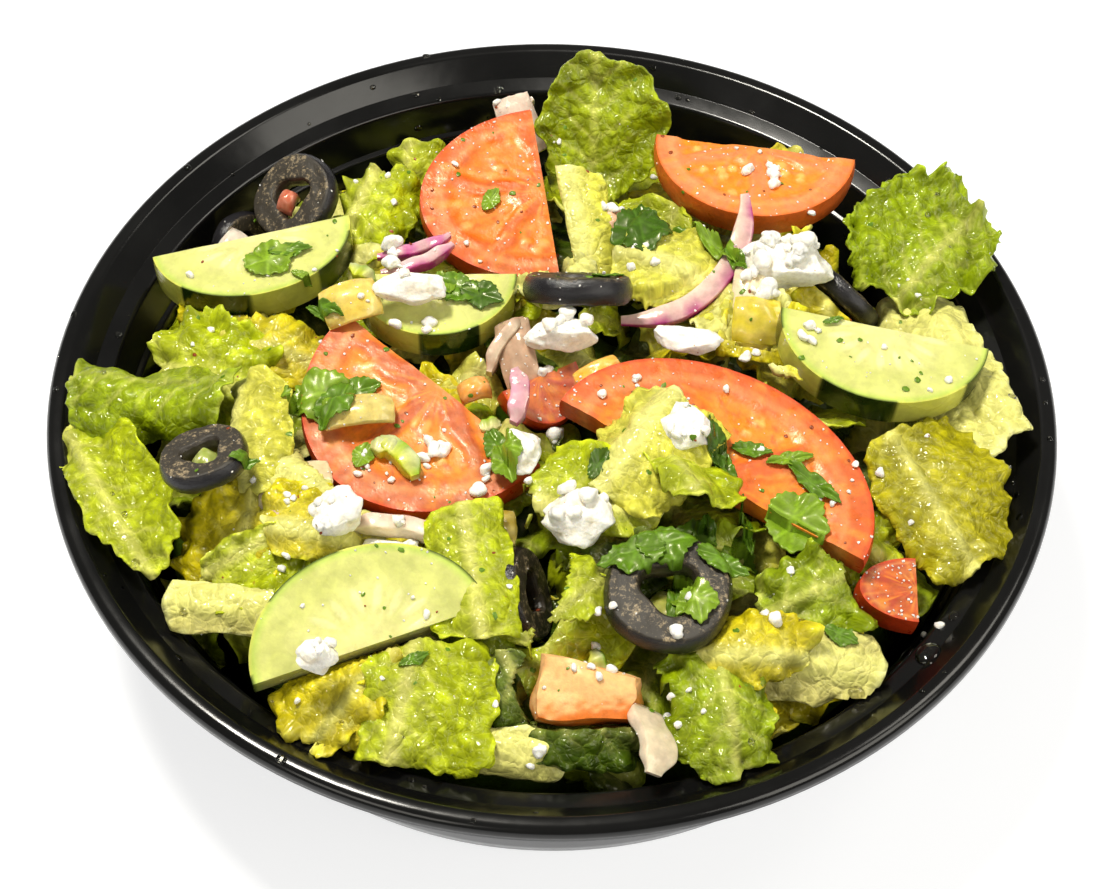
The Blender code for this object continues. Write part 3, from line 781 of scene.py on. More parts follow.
# Name, x, y, z, length, width, turn, lean, leaning toward, bend along and curl across in degrees,
# ruffle, roundness, rib, colour, seed.
PLACED_LEAVES = [
    ("leaf_left_roll", -72, -10, 50.5, 31, 17, 172, 10, 180, 24, -165, 1.0, 0.7, 0.1, GREEN, 1),
    ("leaf_left_lower", -75, -28, 45.5, 36, 16, -58, 16, 205, -20, 36, 1.2, 0.75, 0.25, BRIGHT, 2),
    ("leaf_back_upright", 8, 62, 48.8, 27, 25, 90, 50, -90, 25, 26, 0.9, 0.95, 0.12, DEEP_GREEN, 3),
    ("leaf_back_right_frill", 69, 33, 48.5, 27, 26, 50, 12, -90, -20, 24, 3.0, 0.7, 0.2, GREEN, 4),
    ("leaf_right_pale", 72, 4, 45.5, 40, 17, -72, 14, 180, -24, -30, 0.9, 0.4, 0.9, RIB_WHITE, 5),
    ("leaf_right_blistered", 69, -25, 46.0, 27, 20, -60, 16, -60, -16, -40, 1.4, 0.6, 0.3, AMBER, 6),
    ("leaf_front_broad", -19, -70, 45.5, 21, 20, -98, 20, -90, -34, -30, 1.1, 0.15, 0.3, BRIGHT, 7),
    ("leaf_front_right_fold", 28, -69, 45.5, 22, 18, -80, 16, -80, -26, -50, 2.0, 0.6, 0.2, GREEN, 8),
    ("front_left_yellow", -34, -66, 44.5, 22, 16, -130, 18, -110, -40, -30, 2.6, 0.8, 0.3, YELLOW, 9),
    ("front_left_yellow_low", -29, -71, 41.0, 18, 12, -150, 30, -100, -40, 30, 1.8, 0.8, 0.3, YELLOW, 10),
    ("middle_front_blade", -13, -47, 50.5, 25, 14, 100, 10, -100, -20, -36, 0.8, 0.3, 0.3, BRIGHT, 11),
    ("middle_front_flap", 1, -52, 50.5, 19, 12, 40, 14, -110, -46, -20, 0.8, 0.6, 0.2, BRIGHT, 12),
    ("centre_fold", 17, -24, 57.0, 23, 19, 55, 14, -120, -30, -90, 1.4, 0.4, 0.8, PALE, 13),
    ("centre_fold_green", 24, -28, 56.0, 20, 13, 110, 30, 60, -40, -50, 1.5, 0.7, 0.2, BRIGHT, 14),
    ("back_pale_rib", 5, 32, 51.0, 26, 12, -78, 26, -90, -20, -70, 0.8, 0.3, 1.0, PALE, 15),
    ("back_middle_blade", 23, 22, 51.5, 24, 17, -20, 8, -90, -24, -30, 1.6, 0.5, 0.6, PALE, 16),
    ("back_middle_wedge", 34, 13, 49.5, 17, 14, 30, 24, -90, 20, 30, 1.2, 0.5, 0.6, RIB_WHITE, 17),
    ("right_frill", 52, 24, 48.0, 24, 14, -80, 26, -60, -30, -70, 3.2, 0.8, 0.3, YELLOW, 18),
    ("right_back_stub", 38, 8, 50.0, 14, 11, -10, 24, -90, -20, -30, 0.8, 0.3, 0.3, YELLOW, 19),
    ("left_yellow", -62, 0, 47.5, 22, 18, 160, 20, -110, -40, -40, 2.2, 0.8, 0.3, BRIGHT, 20),
    ("left_inner", -48, 2, 47.5, 22, 12, -20, 18, -90, -30, -40, 1.6, 0.7, 0.3, YELLOW, 21),
    ("left_curl", -52, -19, 52.0, 22, 13, 96, 30, -160, -30, -110, 1.2, 0.6, 0.5, PALE, 22),
    ("left_front_crumple", -56, -38, 46.5, 24, 18, 80, 20, -130, -50, -40, 3.2, 0.8, 0.3, YELLOW, 23),
    ("left_front_crumple_low", -50, -44, 45.5, 20, 14, 30, 24, -100, -40, 40, 2.6, 0.8, 0.3, BRIGHT, 24),
    ("left_front_clear", -53, -51, 43.0, 21, 8, 176, 26, -100, -10, -20, 0.5, 0.3, 1.0, CLEAR_PALE, 25),
    ("left_middle_clear", -38, -31, 51.0, 22, 15, -20, 8, -90, -20, -30, 1.0, 0.5, 0.9, CLEAR_PALE, 26),
    ("left_middle_yellow", -40, -37, 50.0, 18, 13, -10, 22, -90, -50, -30, 1.2, 0.5, 0.5, YELLOW, 27),
    ("centre_low_blade", 6, -31, 52.0, 24, 14, 0, 18, -90, -40, -20, 1.4, 0.5, 0.5, BRIGHT, 28),
    ("front_right_yellow", 34, -59, 48.0, 19, 12, 0, 24, -90, -50, -30, 2.4, 0.8, 0.4, YELLOW, 29),
    ("front_right_frill", 48, -46, 46.5, 25, 16, 30, 24, -70, -50, -30, 3.0, 0.8, 0.2, GREEN, 30),
    ("front_right_clear", 46, -59, 42.0, 20, 13, -10, 24, -80, -20, -20, 0.6, 0.3, 1.0, CLEAR_PALE, 31),
    ("front_dark", 5, -72, 42.5, 22, 12, -8, 30, -90, -40, -30, 2.2, 0.8, 0.2, DARK, 32),
    ("front_pale_rib", -6, -76, 40.5, 17, 9, 176, 40, -90, -20, -40, 0.8, 0.4, 1.0, RIB_WHITE, 33),
    ("front_dark_left", -6, -66, 44.0, 14, 11, -60, 30, -90, -40, 40, 2.4, 0.8, 0.2, DARK, 34),
    ("right_yellow_ribbon", 44, -17, 50.5, 26, 9, -66, 30, -120, -30, -50, 2.0, 0.7, 0.5, YELLOW, 35),
    ("back_left_frill", -35, 41, 46.0, 19, 16, 70, 20, -90, -40, -40, 2.8, 0.8, 0.3, BRIGHT, 36),
    ("back_left_tip", -28, 55, 43.0, 9, 10, 90, 30, -90, -40, -40, 1.8, 0.8, 0.2, BRIGHT, 37),
    ("back_left_low", -64, 14, 43.0, 18, 12, 110, 24, -120, -40, -40, 2.2, 0.8, 0.3, YELLOW, 38),
    ("back_rim_tip", 44, 55, 44.0, 11, 8, 60, 30, -90, -30, -40, 1.6, 0.8, 0.3, YELLOW, 39),
    ("right_low_blade", 50, -30, 45.0, 24, 13, -30, 30, -80, -40, -50, 2.6, 0.8, 0.2, BRIGHT, 40),
    ("front_middle_dark", 12, -44, 46.5, 16, 12, 30, 20, -90, -30, -30, 1.8, 0.7, 0.2, DARK, 41),
    ("centre_pale_edge", -2, 22, 50.5, 17, 12, -30, 18, -90, -30, -40, 1.2, 0.5, 0.8, RIB_WHITE, 42),
]
CAD_LEAVES = {
    "leaf_left_roll": "leaf_left",
    "leaf_left_lower": "leaf_left_front",
    "leaf_back_upright": "leaf_back",
    "leaf_back_right_frill": "leaf_back_right",
    "leaf_right_pale": "leaf_right",
    "leaf_right_blistered": "leaf_right_front",
    "leaf_front_broad": "leaf_front",
    "leaf_front_right_fold": "leaf_front_right",
}
# Leaves that lie over the pieces round them; the others are tucked under.
LEAVES_ON_TOP = {
    "leaf_back_right_frill",
    "centre_fold",
    "centre_fold_green",
    "middle_front_blade",
    "leaf_right_pale",
    "left_curl",
}

TOPPING_ENDINGS = ("_slice", "_ring", "_strip", "_piece", "_lump")
PROBE_REACH = 2.2
PROBE_COUNT = 6
CLEARANCE = 0.7


def tree_of(pieces):
    """One search tree, in millimetres, of the faces of several pieces."""
    verts, faces = [], []
    for piece in pieces:
        first = len(verts)
        verts += [vert.co / MM for vert in piece.data.vertices]
        faces += [[first + i for i in face.vertices] for face in piece.data.polygons]
    return BVHTree.FromPolygons(verts, faces)


topping_tree = tree_of([piece for piece in scene.objects if piece.name.endswith(TOPPING_ENDINGS)])
probe_angles = [i * math.tau / PROBE_COUNT for i in range(PROBE_COUNT)]
probe_ring = [Vector((0, 0, 0))]
probe_ring += [Vector((PROBE_REACH * math.cos(a), PROBE_REACH * math.sin(a), 0)) for a in probe_angles]


def ceiling_over(place):
    """How high a leaf may come at a place without poking through what lies on it."""
    lowest = 1e9
    for probe in probe_ring:
        hit = topping_tree.ray_cast(Vector((place.x, place.y, 0)) + probe, Vector((0, 0, 1)))[0]
        if hit:
            lowest = min(lowest, hit.z - CLEARANCE + 0.9 * probe.length)
    return lowest


STEP_HEIGHT = 33.0
LEDGE_HEIGHT = 39.5
WALL_INSIDE = 79.4
WALL_SLOPE = 0.15
STEP_INSIDE = 79.6
CLEAR_OF_WALL = 1.0


def bowl_clearance(x, y, z):
    """Moves a place in from the bowl's wall, up to the height of its ledge."""
    if z >= LEDGE_HEIGHT:
        return x, y
    room = STEP_INSIDE if z >= STEP_HEIGHT else WALL_INSIDE - WALL_SLOPE * max(0.0, 31.0 - z)
    low = min(FOOT_ROUNDING, max(0.0, FOOT_ROUNDING + half_wall - z))
    room -= FOOT_ROUNDING - math.sqrt(FOOT_ROUNDING**2 - low * low) + CLEAR_OF_WALL
    share = min(1.0, room / max(1.0, math.hypot(x, y)))
    return x * share, y * share


# The surface of a leaf, in millimetres: the spans of its blisters and folds along and across the
# rib, how far apart the side veins are, and how high each of these stands.
BLISTER_SPAN = (2.5, 2.1)
BLISTER_HEIGHT = 0.30
FOLD_SPAN = (17, 11)
FOLD_HEIGHT = 4.4
SIDE_VEIN_SPACING = 5.5
SIDE_VEIN_DEPTH = 0.25
RIB_HEIGHT = 0.5
RUFFLE_HEIGHT = 1.7
PLEATS = 7
PLEAT_HEIGHT = 0.38
VEIN_MAP_SPAN = 10


def leaf_sheet(length, width, bend, curl, ruffle, roundness, rib, colour, seed, spacing=1.0):
    """A piece of leaf as a sheet, its rib along X, with tone, thickness and vein coordinates."""
    bm = bmesh.new()
    paint = bm.verts.layers.float_color.new("tone")
    flat = bm.verts.layers.float_vector.new("flat")
    thick = bm.verts.layers.deform.verify()
    bmesh.ops.create_grid(
        bm, x_segments=max(8, int(length / spacing)), y_segments=max(6, int(width / spacing)), size=1
    )
    pick = random.Random(seed)
    shift = Vector((pick.uniform(0, 90), pick.uniform(0, 90), pick.uniform(0, 9)))
    rib_place = pick.uniform(-0.25, 0.25)
    for vert in bm.verts:
        u, v = vert.co.xy
        disc_u, disc_v = u * math.sqrt(1 - v * v / 2), v * math.sqrt(1 - u * u / 2)
        edge = max(abs(u), abs(v))
        x = (u + (disc_u - u) * roundness) * length / 2
        y = (v + (disc_v - v) * roundness) * width / 2
        jag = noise.noise(Vector((x / 6, y / 6, 0)) + shift)
        jag += (0.12 + 0.14 * ruffle) * noise.noise(Vector((x, y, 0)) / 1.7 + shift)
        tooth = noise.noise(Vector((x, y, 7)) / 0.9 + shift)
        grow = 1 + (0.22 * jag + 0.06) * edge**3 + 0.022 * ruffle * tooth * edge**8
        x, y = x * grow, y * grow
        off_rib = abs(y - rib_place * width)
        on_rib = min(1.0, 1.6 * rib) * fade(off_rib, 0.8 + 3.2 * rib, 0.3)
        branch = abs(((x - 0.8 * off_rib + 1.5 * jag) / SIDE_VEIN_SPACING) % 1.0 - 0.5)
        on_branch = fade(branch, 0.13, 0.04) * fade(off_rib, width * 0.5, width * 0.2)
        vert[flat] = Vector((x, y, 0)) + shift * VEIN_MAP_SPAN
        wave = noise.noise(Vector((x, y, 5)) / 3.0 + shift)
        wave += 0.35 * noise.noise(Vector((x, y, 9)) / 1.4 + shift)
        z = RUFFLE_HEIGHT * ruffle * wave * edge**3
        pleat = math.sin(PLEATS * math.atan2(y / width, x / length) + 2.5 * jag + seed)
        z += PLEAT_HEIGHT * ruffle * pleat * edge**1.5
        cells = noise.voronoi(Vector((x / BLISTER_SPAN[0], y / BLISTER_SPAN[1], 0)) + shift)[0]
        blister = fade(cells[1] - cells[0], 0.0, 0.5) * (1 - on_rib)
        z += BLISTER_HEIGHT * blister + RIB_HEIGHT * on_rib - SIDE_VEIN_DEPTH * on_branch
        fold = abs(noise.noise(Vector((x / FOLD_SPAN[0], y / FOLD_SPAN[1], 0)) + shift))
        swell = noise.noise(Vector((x / 9, y / 9, 0)) + shift)
        z += (FOLD_HEIGHT * fold + 0.9 * swell) * (1 - 0.6 * rib)
        pale = min(1.0, on_rib + 0.35 * fade(off_rib, 7.0, 1.0) * rib + 0.25 * on_branch)
        thread = 0.5 + 0.5 * math.sin(2.6 * y + 4 * jag)
        # Painted shade and light: the blade is darker in the hollows between blisters and lighter on their
        # tops.
        tone = blend(tuple(c * (0.62 + 0.46 * blister) for c in colour), RIB_WHITE, pale)
        tone = tuple(c * (1 - 0.22 * thread * on_rib) for c in tone)
        z += 0.12 * thread * on_rib
        # Painted shade: the blade is darkened along the creases at the bottom of its folds.
        tone = tuple(c * (1 - 0.35 * fade(fold, 0.10, 0.0) * (1 - rib)) for c in tone)
        tone = blend(tone, tuple(c * 0.70 for c in tone), fade(edge, 0.4, 0.8) * (1 - rib) * 0.8)
        tone = blend(tone, tuple(min(0.8, c * 1.7 + 0.01) for c in tone), 0.8 * fade(edge, 0.86, 1.0))
        vert[paint] = (*tone, 1.0)
        vert[thick][0] = 0.22 + 0.78 * on_rib
        if curl:
            radius = width / math.radians(curl)
            y, z = math.sin(y / radius) * (radius - z), radius - math.cos(y / radius) * (radius - z)
        if bend:
            radius = length / math.radians(bend)
            x, z = math.sin(x / radius) * (radius - z), radius - math.cos(x / radius) * (radius - z)
        vert.co = (x, y, z)
    uv = bm.loops.layers.uv.new("veins")
    for face in bm.faces:
        for loop in face.loops:
            loop[uv].uv = loop.vert[flat].xy / VEIN_MAP_SPAN
    bm.verts.layers.float_vector.remove(bm.verts.layers.float_vector["flat"])
    return bm


SMALLEST_SCRAP = 24


def drop_scraps(bm):
    """Deletes the bits of only a few faces that a cut leaves hanging in the air."""
    unseen = set(bm.verts)
    scraps = []
    while unseen:
        island = {unseen.pop()}
        front = list(island)
        while front:
            near = {edge.other_vert(vert) for vert in front for edge in vert.link_edges} - island
            island |= near
            front = list(near)
        unseen -= island
        if len(island) < SMALLEST_SCRAP:
            scraps += island
    bmesh.ops.delete(bm, geom=scraps, context="VERTS")


DEEPEST_TUCK = 4.0
LOWEST_LEAF = 4.0


def settle(bm, on_top):
    """Keeps a placed leaf inside the bowl and, unless it lies on top, under the toppings."""
    buried = []
    for vert in bm.verts:
        ceiling = 1e9 if on_top else ceiling_over(vert.co)
        if vert.co.z > ceiling + DEEPEST_TUCK:
            buried.append(vert)
        vert.co.z = min(vert.co.z, ceiling)
        vert.co.x, vert.co.y = bowl_clearance(*vert.co)
        vert.co.z = max(vert.co.z, LOWEST_LEAF)
    bmesh.ops.delete(bm, geom=buried, context="VERTS")
    drop_scraps(bm)
    bmesh.ops.smooth_vert(
        bm, verts=bm.verts, factor=0.12, use_axis_x=True, use_axis_y=True, use_axis_z=True
    )


lettuce, shader, put = new_material("lettuce")
link = lettuce.node_tree.links.new
leaf_tone = put("Attribute", {"attribute_name": "tone"})
veins = put("UVMap", {"uv_map": "veins"}).outputs["UV"]
warp = put("TexNoise", Vector=veins, Scale=1.6, Detail=3.0).outputs["Color"]
bent = put("VectorMath", {"operation": "MULTIPLY_ADD"}, _0=warp, _1=(0.35, 0.35, 0.0), _2=veins)
network = put("TexVoronoi", {"feature": "DISTANCE_TO_EDGE"}, Vector=bent.outputs["Vector"], Scale=3.3)
fine_network = put("TexVoronoi", {"feature": "DISTANCE_TO_EDGE"}, Vector=bent.outputs["Vector"], Scale=9.5)
vein = put("MapRange", Value=network.outputs["Distance"], From_Min=0.07, From_Max=0.0).outputs["Result"]
vein_fine = put("MapRange", Value=fine_network.outputs["Distance"], From_Min=0.10, From_Max=0.0)
mottle = put("TexNoise", Vector=veins, Scale=3.2, Detail=4.0, Roughness=0.6).outputs["Fac"]
shade = put("MapRange", Value=mottle, From_Min=0.3, From_Max=0.7, To_Min=0.78, To_Max=1.18).outputs["Result"]
toned = put(
    "Mix", {"data_type": "RGBA", "blend_type": "MULTIPLY"}, _0=1.0, _6=leaf_tone.outputs["Color"], _7=shade
).outputs[2]
vein_share = put("Math", {"operation": "MULTIPLY"}, _0=vein, _1=0.35).outputs["Value"]
vein_total = put(
    "Math", {"operation": "MULTIPLY_ADD"}, _0=vein_fine.outputs["Result"], _1=0.14, _2=vein_share
).outputs["Value"]
vein_gain, vein_lift = (1.5, 1.4, 1.8), (0.06, 0.07, 0.005)
vein_tone = put("VectorMath", {"operation": "MULTIPLY_ADD"}, _0=toned, _1=vein_gain, _2=vein_lift)
toned = put("Mix", {"data_type": "RGBA"}, _0=vein_total, _6=toned, _7=vein_tone.outputs["Vector"]).outputs[2]
link(toned, shader.inputs["Base Color"])
relief = put("MapRange", Value=network.outputs["Distance"], From_Min=0.0, From_Max=0.25).outputs["Result"]
fine_relief = put("MapRange", Value=fine_network.outputs["Distance"], From_Min=0.0, From_Max=0.3)
relief = put("Math", {"operation": "MULTIPLY_ADD"}, _0=fine_relief.outputs["Result"], _1=0.35, _2=relief)
bump = put("Bump", Height=relief.outputs["Value"], Strength=0.5, Distance=0.0005)
link(bump.outputs["Normal"], shader.inputs["Normal"])
sheen_map = put("MapRange", Value=mottle, From_Min=0.3, From_Max=0.7, To_Min=0.26, To_Max=0.50)
link(sheen_map.outputs["Result"], shader.inputs["Roughness"])
shader.inputs["Specular IOR Level"].default_value = 0.28
shader.inputs["Specular Tint"].default_value = (1.0, 0.96, 0.62, 1.0)
shader.inputs["Coat Weight"].default_value = 0.26
shader.inputs["Coat Roughness"].default_value = 0.06
link(bump.outputs["Normal"], shader.inputs["Coat Normal"])

LEAF_THICKNESS = 1.5


def finish_leaf(name, bm, replaced=()):
    """Gives a sheet of leaf its body, thin in the blade and full over the rib."""
    leaf = finish_piece(name, bm, lettuce, "lettuce", replaced, smooth_angle=75)
    leaf.vertex_groups.new(name="thickness")
    blade = leaf.modifiers.new("blade", "SOLIDIFY")
    blade.thickness = LEAF_THICKNESS * MM
    blade.offset = 0
    blade.vertex_group = "thickness"
    blade.thickness_vertex_group = 0.0


for name, x, y, z, length, width, turn, lean, toward, *form in PLACED_LEAVES:
    bm = leaf_sheet(length, width, *form, spacing=0.62)
    bmesh.ops.transform(bm, matrix=turned_to(turn, lean, toward), verts=bm.verts)
    bmesh.ops.translate(bm, vec=(x, y, z), verts=bm.verts)
    settle(bm, name in LEAVES_ON_TOP)
    finish_leaf(name, bm, [CAD_LEAVES[name]] if name in CAD_LEAVES else ["salad_heap"])


HEAP_RADIUS = 78.0
HEAP_MIDDLE = 45.0
HEAP_EDGE = 29.5
HEAP_TILT = 5.5
HEAP_LUMPS = 5.0


def heap_top(x, y):
    """The height of the heap's surface: a mound, higher on the wall at the front than at the back."""
    reach = math.hypot(x, y)
    edge = HEAP_EDGE - HEAP_TILT * y / max(1.0, reach)
    mound = 1 - min(1.0, reach / HEAP_RADIUS) ** 2.6
    return edge + (HEAP_MIDDLE - edge) * mound + HEAP_LUMPS * noise.noise(Vector((x, y, 0)) / 13)


FILLER_REACH = 75.0
GOLDEN_ANGLE = 2.399963
# Name, how many, colours, rib, and the shortest and longest.
FILLER_KINDS = [
    ("chopped_green_leaves", 70, (GREEN, BRIGHT, BRIGHT, YELLOW), 0.2, (13, 24)),
    ("chopped_pale_leaves", 46, (PALE, YELLOW, CLEAR_PALE), 0.8, (11, 20)),
    ("chopped_dark_leaves", 34, (DARK, GREEN, DARK), 0.2, (12, 20)),
]
for kind, (name, count, colours, rib, span) in enumerate(FILLER_KINDS):
    pick = random.Random(100 + kind)
    together = bmesh.new()
    for number in range(count):
        reach = FILLER_REACH * math.sqrt((number + 0.5) / count)
        angle = number * GOLDEN_ANGLE + kind
        x = reach * math.cos(angle) + pick.uniform(-4, 4)
        y = reach * math.sin(angle) + pick.uniform(-4, 4)
        depth = pick.uniform(0.0, 4.0) if kind < 2 else pick.uniform(2.5, 7.0)
        size = pick.uniform(*span)
        bm = leaf_sheet(
            size,
            size * pick.uniform(0.55, 0.9),
            pick.uniform(-80, 30),
            pick.uniform(-90, 50),
            pick.uniform(0.8, 2.8),
            pick.uniform(0.3, 0.9),
            rib * pick.uniform(0.3, 1.2),
            pick.choice(colours),
            1000 * kind + number,
            spacing=1.05,
        )
        turned = turned_to(pick.uniform(0, 360), pick.uniform(5, 50), pick.uniform(0, 360))
        bmesh.ops.transform(bm, matrix=turned, verts=bm.verts)
        bmesh.ops.translate(bm, vec=(x, y, heap_top(x, y) - depth), verts=bm.verts)
        # Painted shade: the deeper a scrap lies in the heap, the darker its tone.
        for vert in bm.verts:
            vert[bm.verts.layers.float_color["tone"]] *= 1 - 0.07 * depth
        settle(bm, False)
        scrap = bpy.data.meshes.new("scrap")
        bm.to_mesh(scrap)
        bm.free()
        together.from_mesh(scrap)
        bpy.data.meshes.remove(scrap)
    finish_leaf(name, together, ["salad_heap"])

# The core under the leaves: a turned plug that clears the bowl, its top raised to the mound,
# and painted near black as the shade deep among the leaves.
# Its profile is in distances from the axis and heights.
CORE_DEPTH = 9.0
CORE_SHOULDER = (72, 24.0)
CORE_RINGS = 24
CORE_PAINTED_SHADE = (0.02, 0.035, 0.002)
core_profile = [(0, 4.5), (58, 4.5), (70, 8.0), (74, 20.0), CORE_SHOULDER]
core_profile += [
    (CORE_SHOULDER[0] * (1 - i / CORE_RINGS), CORE_SHOULDER[1]) for i in range(1, CORE_RINGS + 1)
]
bm = bmesh.new()
core_verts = [bm.verts.new((x, 0, z)) for x, z in core_profile]
core_edges = [bm.edges.new(pair) for pair in zip(core_verts, core_verts[1:])]
bmesh.ops.spin(
    bm,
    geom=core_verts + core_edges,
    cent=(0, 0, 0),
    axis=(0, 0, 1),
    angle=math.tau,
    steps=96,
    use_merge=True,
)
bmesh.ops.remove_doubles(bm, verts=bm.verts, dist=1e-3)
bmesh.ops.recalc_face_normals(bm, faces=bm.faces)
paint = bm.verts.layers.float_color.new("tone")
# Painted shade: the core is coloured near black, standing in for the shade deep in the heap.
for vert in bm.verts:
    grain = noise.noise(vert.co / 5)
    vert[paint] = (*blend(DARK, CORE_PAINTED_SHADE, 0.5 + grain), 1.0)
    if vert.co.z > CORE_SHOULDER[1] - 1:
        x, y = vert.co.xy
        vert.co.z = heap_top(x, y) - CORE_DEPTH + 3 * noise.noise(Vector((x, y, 0)) / 4)
        vert.co.z = min(vert.co.z, ceiling_over(vert.co) - 1.0)
core_green = wet_material("core_green", 1.5, 0.4, 0.35, 0.1, (0.8, 1.0, 0.2))
finish_piece("packed_salad_core", bm, core_green, "lettuce", ["salad_heap"], smooth_angle=80)

# ---------------------------------------------------------------------------------------------
# Petals of onion and bits of other vegetables. Small bent blocks, wet and half clear, that lie
# among the larger pieces.

# Name, x, y, z, length, width, thickness, turn, lean, leaning toward, colour, seed.
SMALL_BITS = [
    ("onion_petal_back", -8, 64, 46, 13, 8, 1.6, 112, 52, -90, (0.76, 0.60, 0.50), 1),
    ("onion_petal_centre", -7, 0, 52.5, 13, 7, 1.4, -80, 30, -120, (0.50, 0.31, 0.20), 3),
    ("onion_petal_left", -45, -30, 50.5, 15, 9, 1.6, 12, 14, -100, (0.72, 0.58, 0.34), 4),
    ("onion_petal_right", 36, 16, 52, 12, 7, 2.0, 84, 24, -90, (0.80, 0.68, 0.44), 5),
    ("onion_petal_wall", -62, 31, 44, 8, 6, 1.6, 60, 30, -60, (0.70, 0.62, 0.52), 6),
    ("onion_petal_low", -44, -37, 49.5, 12, 4, 1.6, -40, 20, -90, (0.66, 0.44, 0.40), 7),
    ("tomato_bit_back", 9, 34, 50.5, 9, 5, 2.4, 20, 26, -90, (0.90, 0.50, 0.30), 8),
    ("tomato_bit_centre", -14, -9, 53.0, 6, 4, 3.0, 20, 10, -90, (0.88, 0.36, 0.04), 9),
    ("tomato_bit_olive", -52.5, 42, 46.5, 4.5, 3.5, 3.0, 70, 10, -90, (0.52, 0.10, 0.04), 10),
    ("tomato_bit_left", -54, -14, 50.0, 5, 4, 2.5, 70, 10, -90, (0.50, 0.16, 0.08), 11),
    ("pepper_bit_orange", 8, -5, 53.5, 9, 4.5, 2.2, 28, 20, -90, (0.90, 0.44, 0.03), 12),
    ("pepper_bit_right", 37, 10, 51.5, 9, 9, 1.6, 86, 30, -90, (0.66, 0.54, 0.02), 13),
    ("pulp_in_olive", -59, -31, 56.5, 6, 5, 2.4, 60, 34, -100, (0.30, 0.38, 0.05), 14),
    ("pulp_under_olive", 20, -51, 47.5, 8, 7, 2.0, 60, 10, 150, (0.34, 0.36, 0.03), 15),
]
BIT_SLOTS = {"onion": "red_onion", "tomato": "tomato", "pepper": "pepper", "pulp": "pepper"}
for name, x, y, z, length, width, thickness, turn, lean, toward, colour, seed in SMALL_BITS:
    bm = bent_block(length, width, colour, seed + 80, thickness, ends=blend(colour, ONION_WHITE, 0.4))
    bmesh.ops.transform(bm, matrix=turned_to(turn, lean, toward), verts=bm.verts)
    bmesh.ops.translate(bm, vec=(x, y, z), verts=bm.verts)
    finish_piece(name, bm, onion_flesh, BIT_SLOTS[name.split("_")[0]])

# ---------------------------------------------------------------------------------------------
# Parsley and scallion. Torn flat parsley leaves with toothed lobes, slivers of them, and short
# lengths of scallion, all draped on what lies below.

PARSLEY_DARK = (0.05, 0.12, 0.006)
PARSLEY = (0.10, 0.21, 0.008)
PARSLEY_LIGHT = (0.19, 0.32, 0.015)

salad = [piece for piece in scene.objects if piece.type == "MESH" and "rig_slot" in piece.keys()]
surface_tree = tree_of(salad)
DROP_HEIGHT = 120


def drop_on(x, y):
    """The place and normal where something dropped at x, y would land."""
    place, normal = surface_tree.ray_cast(Vector((x, y, DROP_HEIGHT)), Vector((0, 0, -1)))[:2]
    if place is None:
        return Vector((x, y, 2)), Vector((0, 0, 1))
    return place, normal if normal.z > 0 else -normal


# x, y, size, turn, slimness, colour.
PARSLEY_LEAVES = [
    (-41, -11, 12, 200, 0.8, PARSLEY_LIGHT),
    (-38, -14, 11, 250, 0.6, PARSLEY),
    (-35, -10, 8, 20, 0.6, PARSLEY),
    (15.5, 31, 13, -80, 0.8, PARSLEY_DARK),
    (19, 35, 10, 170, 0.6, PARSLEY_DARK),
    (23.5, 34, 10, -70, 0.7, PARSLEY),
    (29, 28, 13, -50, 0.3, PARSLEY_LIGHT),
    (33, 23, 7, -60, 0.3, PARSLEY),
    (18, -38, 9, 120, 0.9, PARSLEY_LIGHT),
    (24.5, -39, 9, 80, 0.8, PARSLEY),
    (27, -38, 7, 95, 0.4, PARSLEY_DARK),
    (14.5, -45.5, 11, 190, 0.6, PARSLEY),
    (19, -43.5, 10, 10, 0.8, PARSLEY),
    (23.5, -49, 9, -90, 0.7, PARSLEY_LIGHT),
    (24.5, -53.5, 8, -80, 0.8, PARSLEY_LIGHT),
    (21.5, -51.5, 9, -85, 0.35, PARSLEY),
    (28.5, -46, 9, -20, 0.5, PARSLEY),
    (32, -38.5, 9, 50, 0.8, PARSLEY_LIGHT),
    (42, -34, 11, -30, 0.9, PARSLEY_LIGHT),
    (43.5, -38, 12, -50, 0.8, PARSLEY_LIGHT),
    (28.5, -23, 9, 100, 0.4, PARSLEY_DARK),
    (30, -25.5, 8, -80, 0.45, PARSLEY),
    (34.5, -21, 7, -10, 0.4, PARSLEY),
    (41, -23, 8, 10, 0.3, PARSLEY_LIGHT),
    (45, -27, 11, -40, 0.3, PARSLEY),
    (34, -35, 9, 100, 0.2, PARSLEY),
    (8, -27.5, 6, 60, 0.5, PARSLEY_DARK),
    (-9.5, -20, 7, -60, 0.7, PARSLEY),
    (-8, -25, 8, -70, 0.6, PARSLEY_LIGHT),
    (-33, -23.5, 5, 70, 0.7, PARSLEY_LIGHT),
    (49, -54, 6, -20, 0.6, PARSLEY),
    (-18, 13, 9, 160, 0.7, PARSLEY),
    (-14, 12, 8, -20, 0.7, PARSLEY_DARK),
    (-20, 15, 7, 100, 0.5, PARSLEY_LIGHT),
    (-54.5, 24.5, 10, 30, 0.8, PARSLEY_LIGHT),
    (-51, 27, 8, 10, 0.4, PARSLEY),
    (-45, 8, 8, -40, 0.25, PARSLEY_DARK),
    (-42, 5.5, 8, -30, 0.25, PARSLEY),
    (-13, 38, 5, 60, 0.6, PARSLEY_LIGHT),
    (9, 12, 6, 20, 0.4, PARSLEY),
    (50, 6, 4, 20, 0.3, PARSLEY),
    (-48, 21, 4, -20, 0.4, PARSLEY_LIGHT),
    (-22, -63, 5, 20, 0.4, PARSLEY),
    (-52, -32, 5, 20, 0.4, PARSLEY),
]
# The directions of the three lobes and half the breadth of one, in radians.
LOBES = (-1.25, 0.0, 1.25)
LOBE_WIDTH = 0.42
DEEPEST_DRAPE = 2.5
PARSLEY_THICKNESS = 0.22


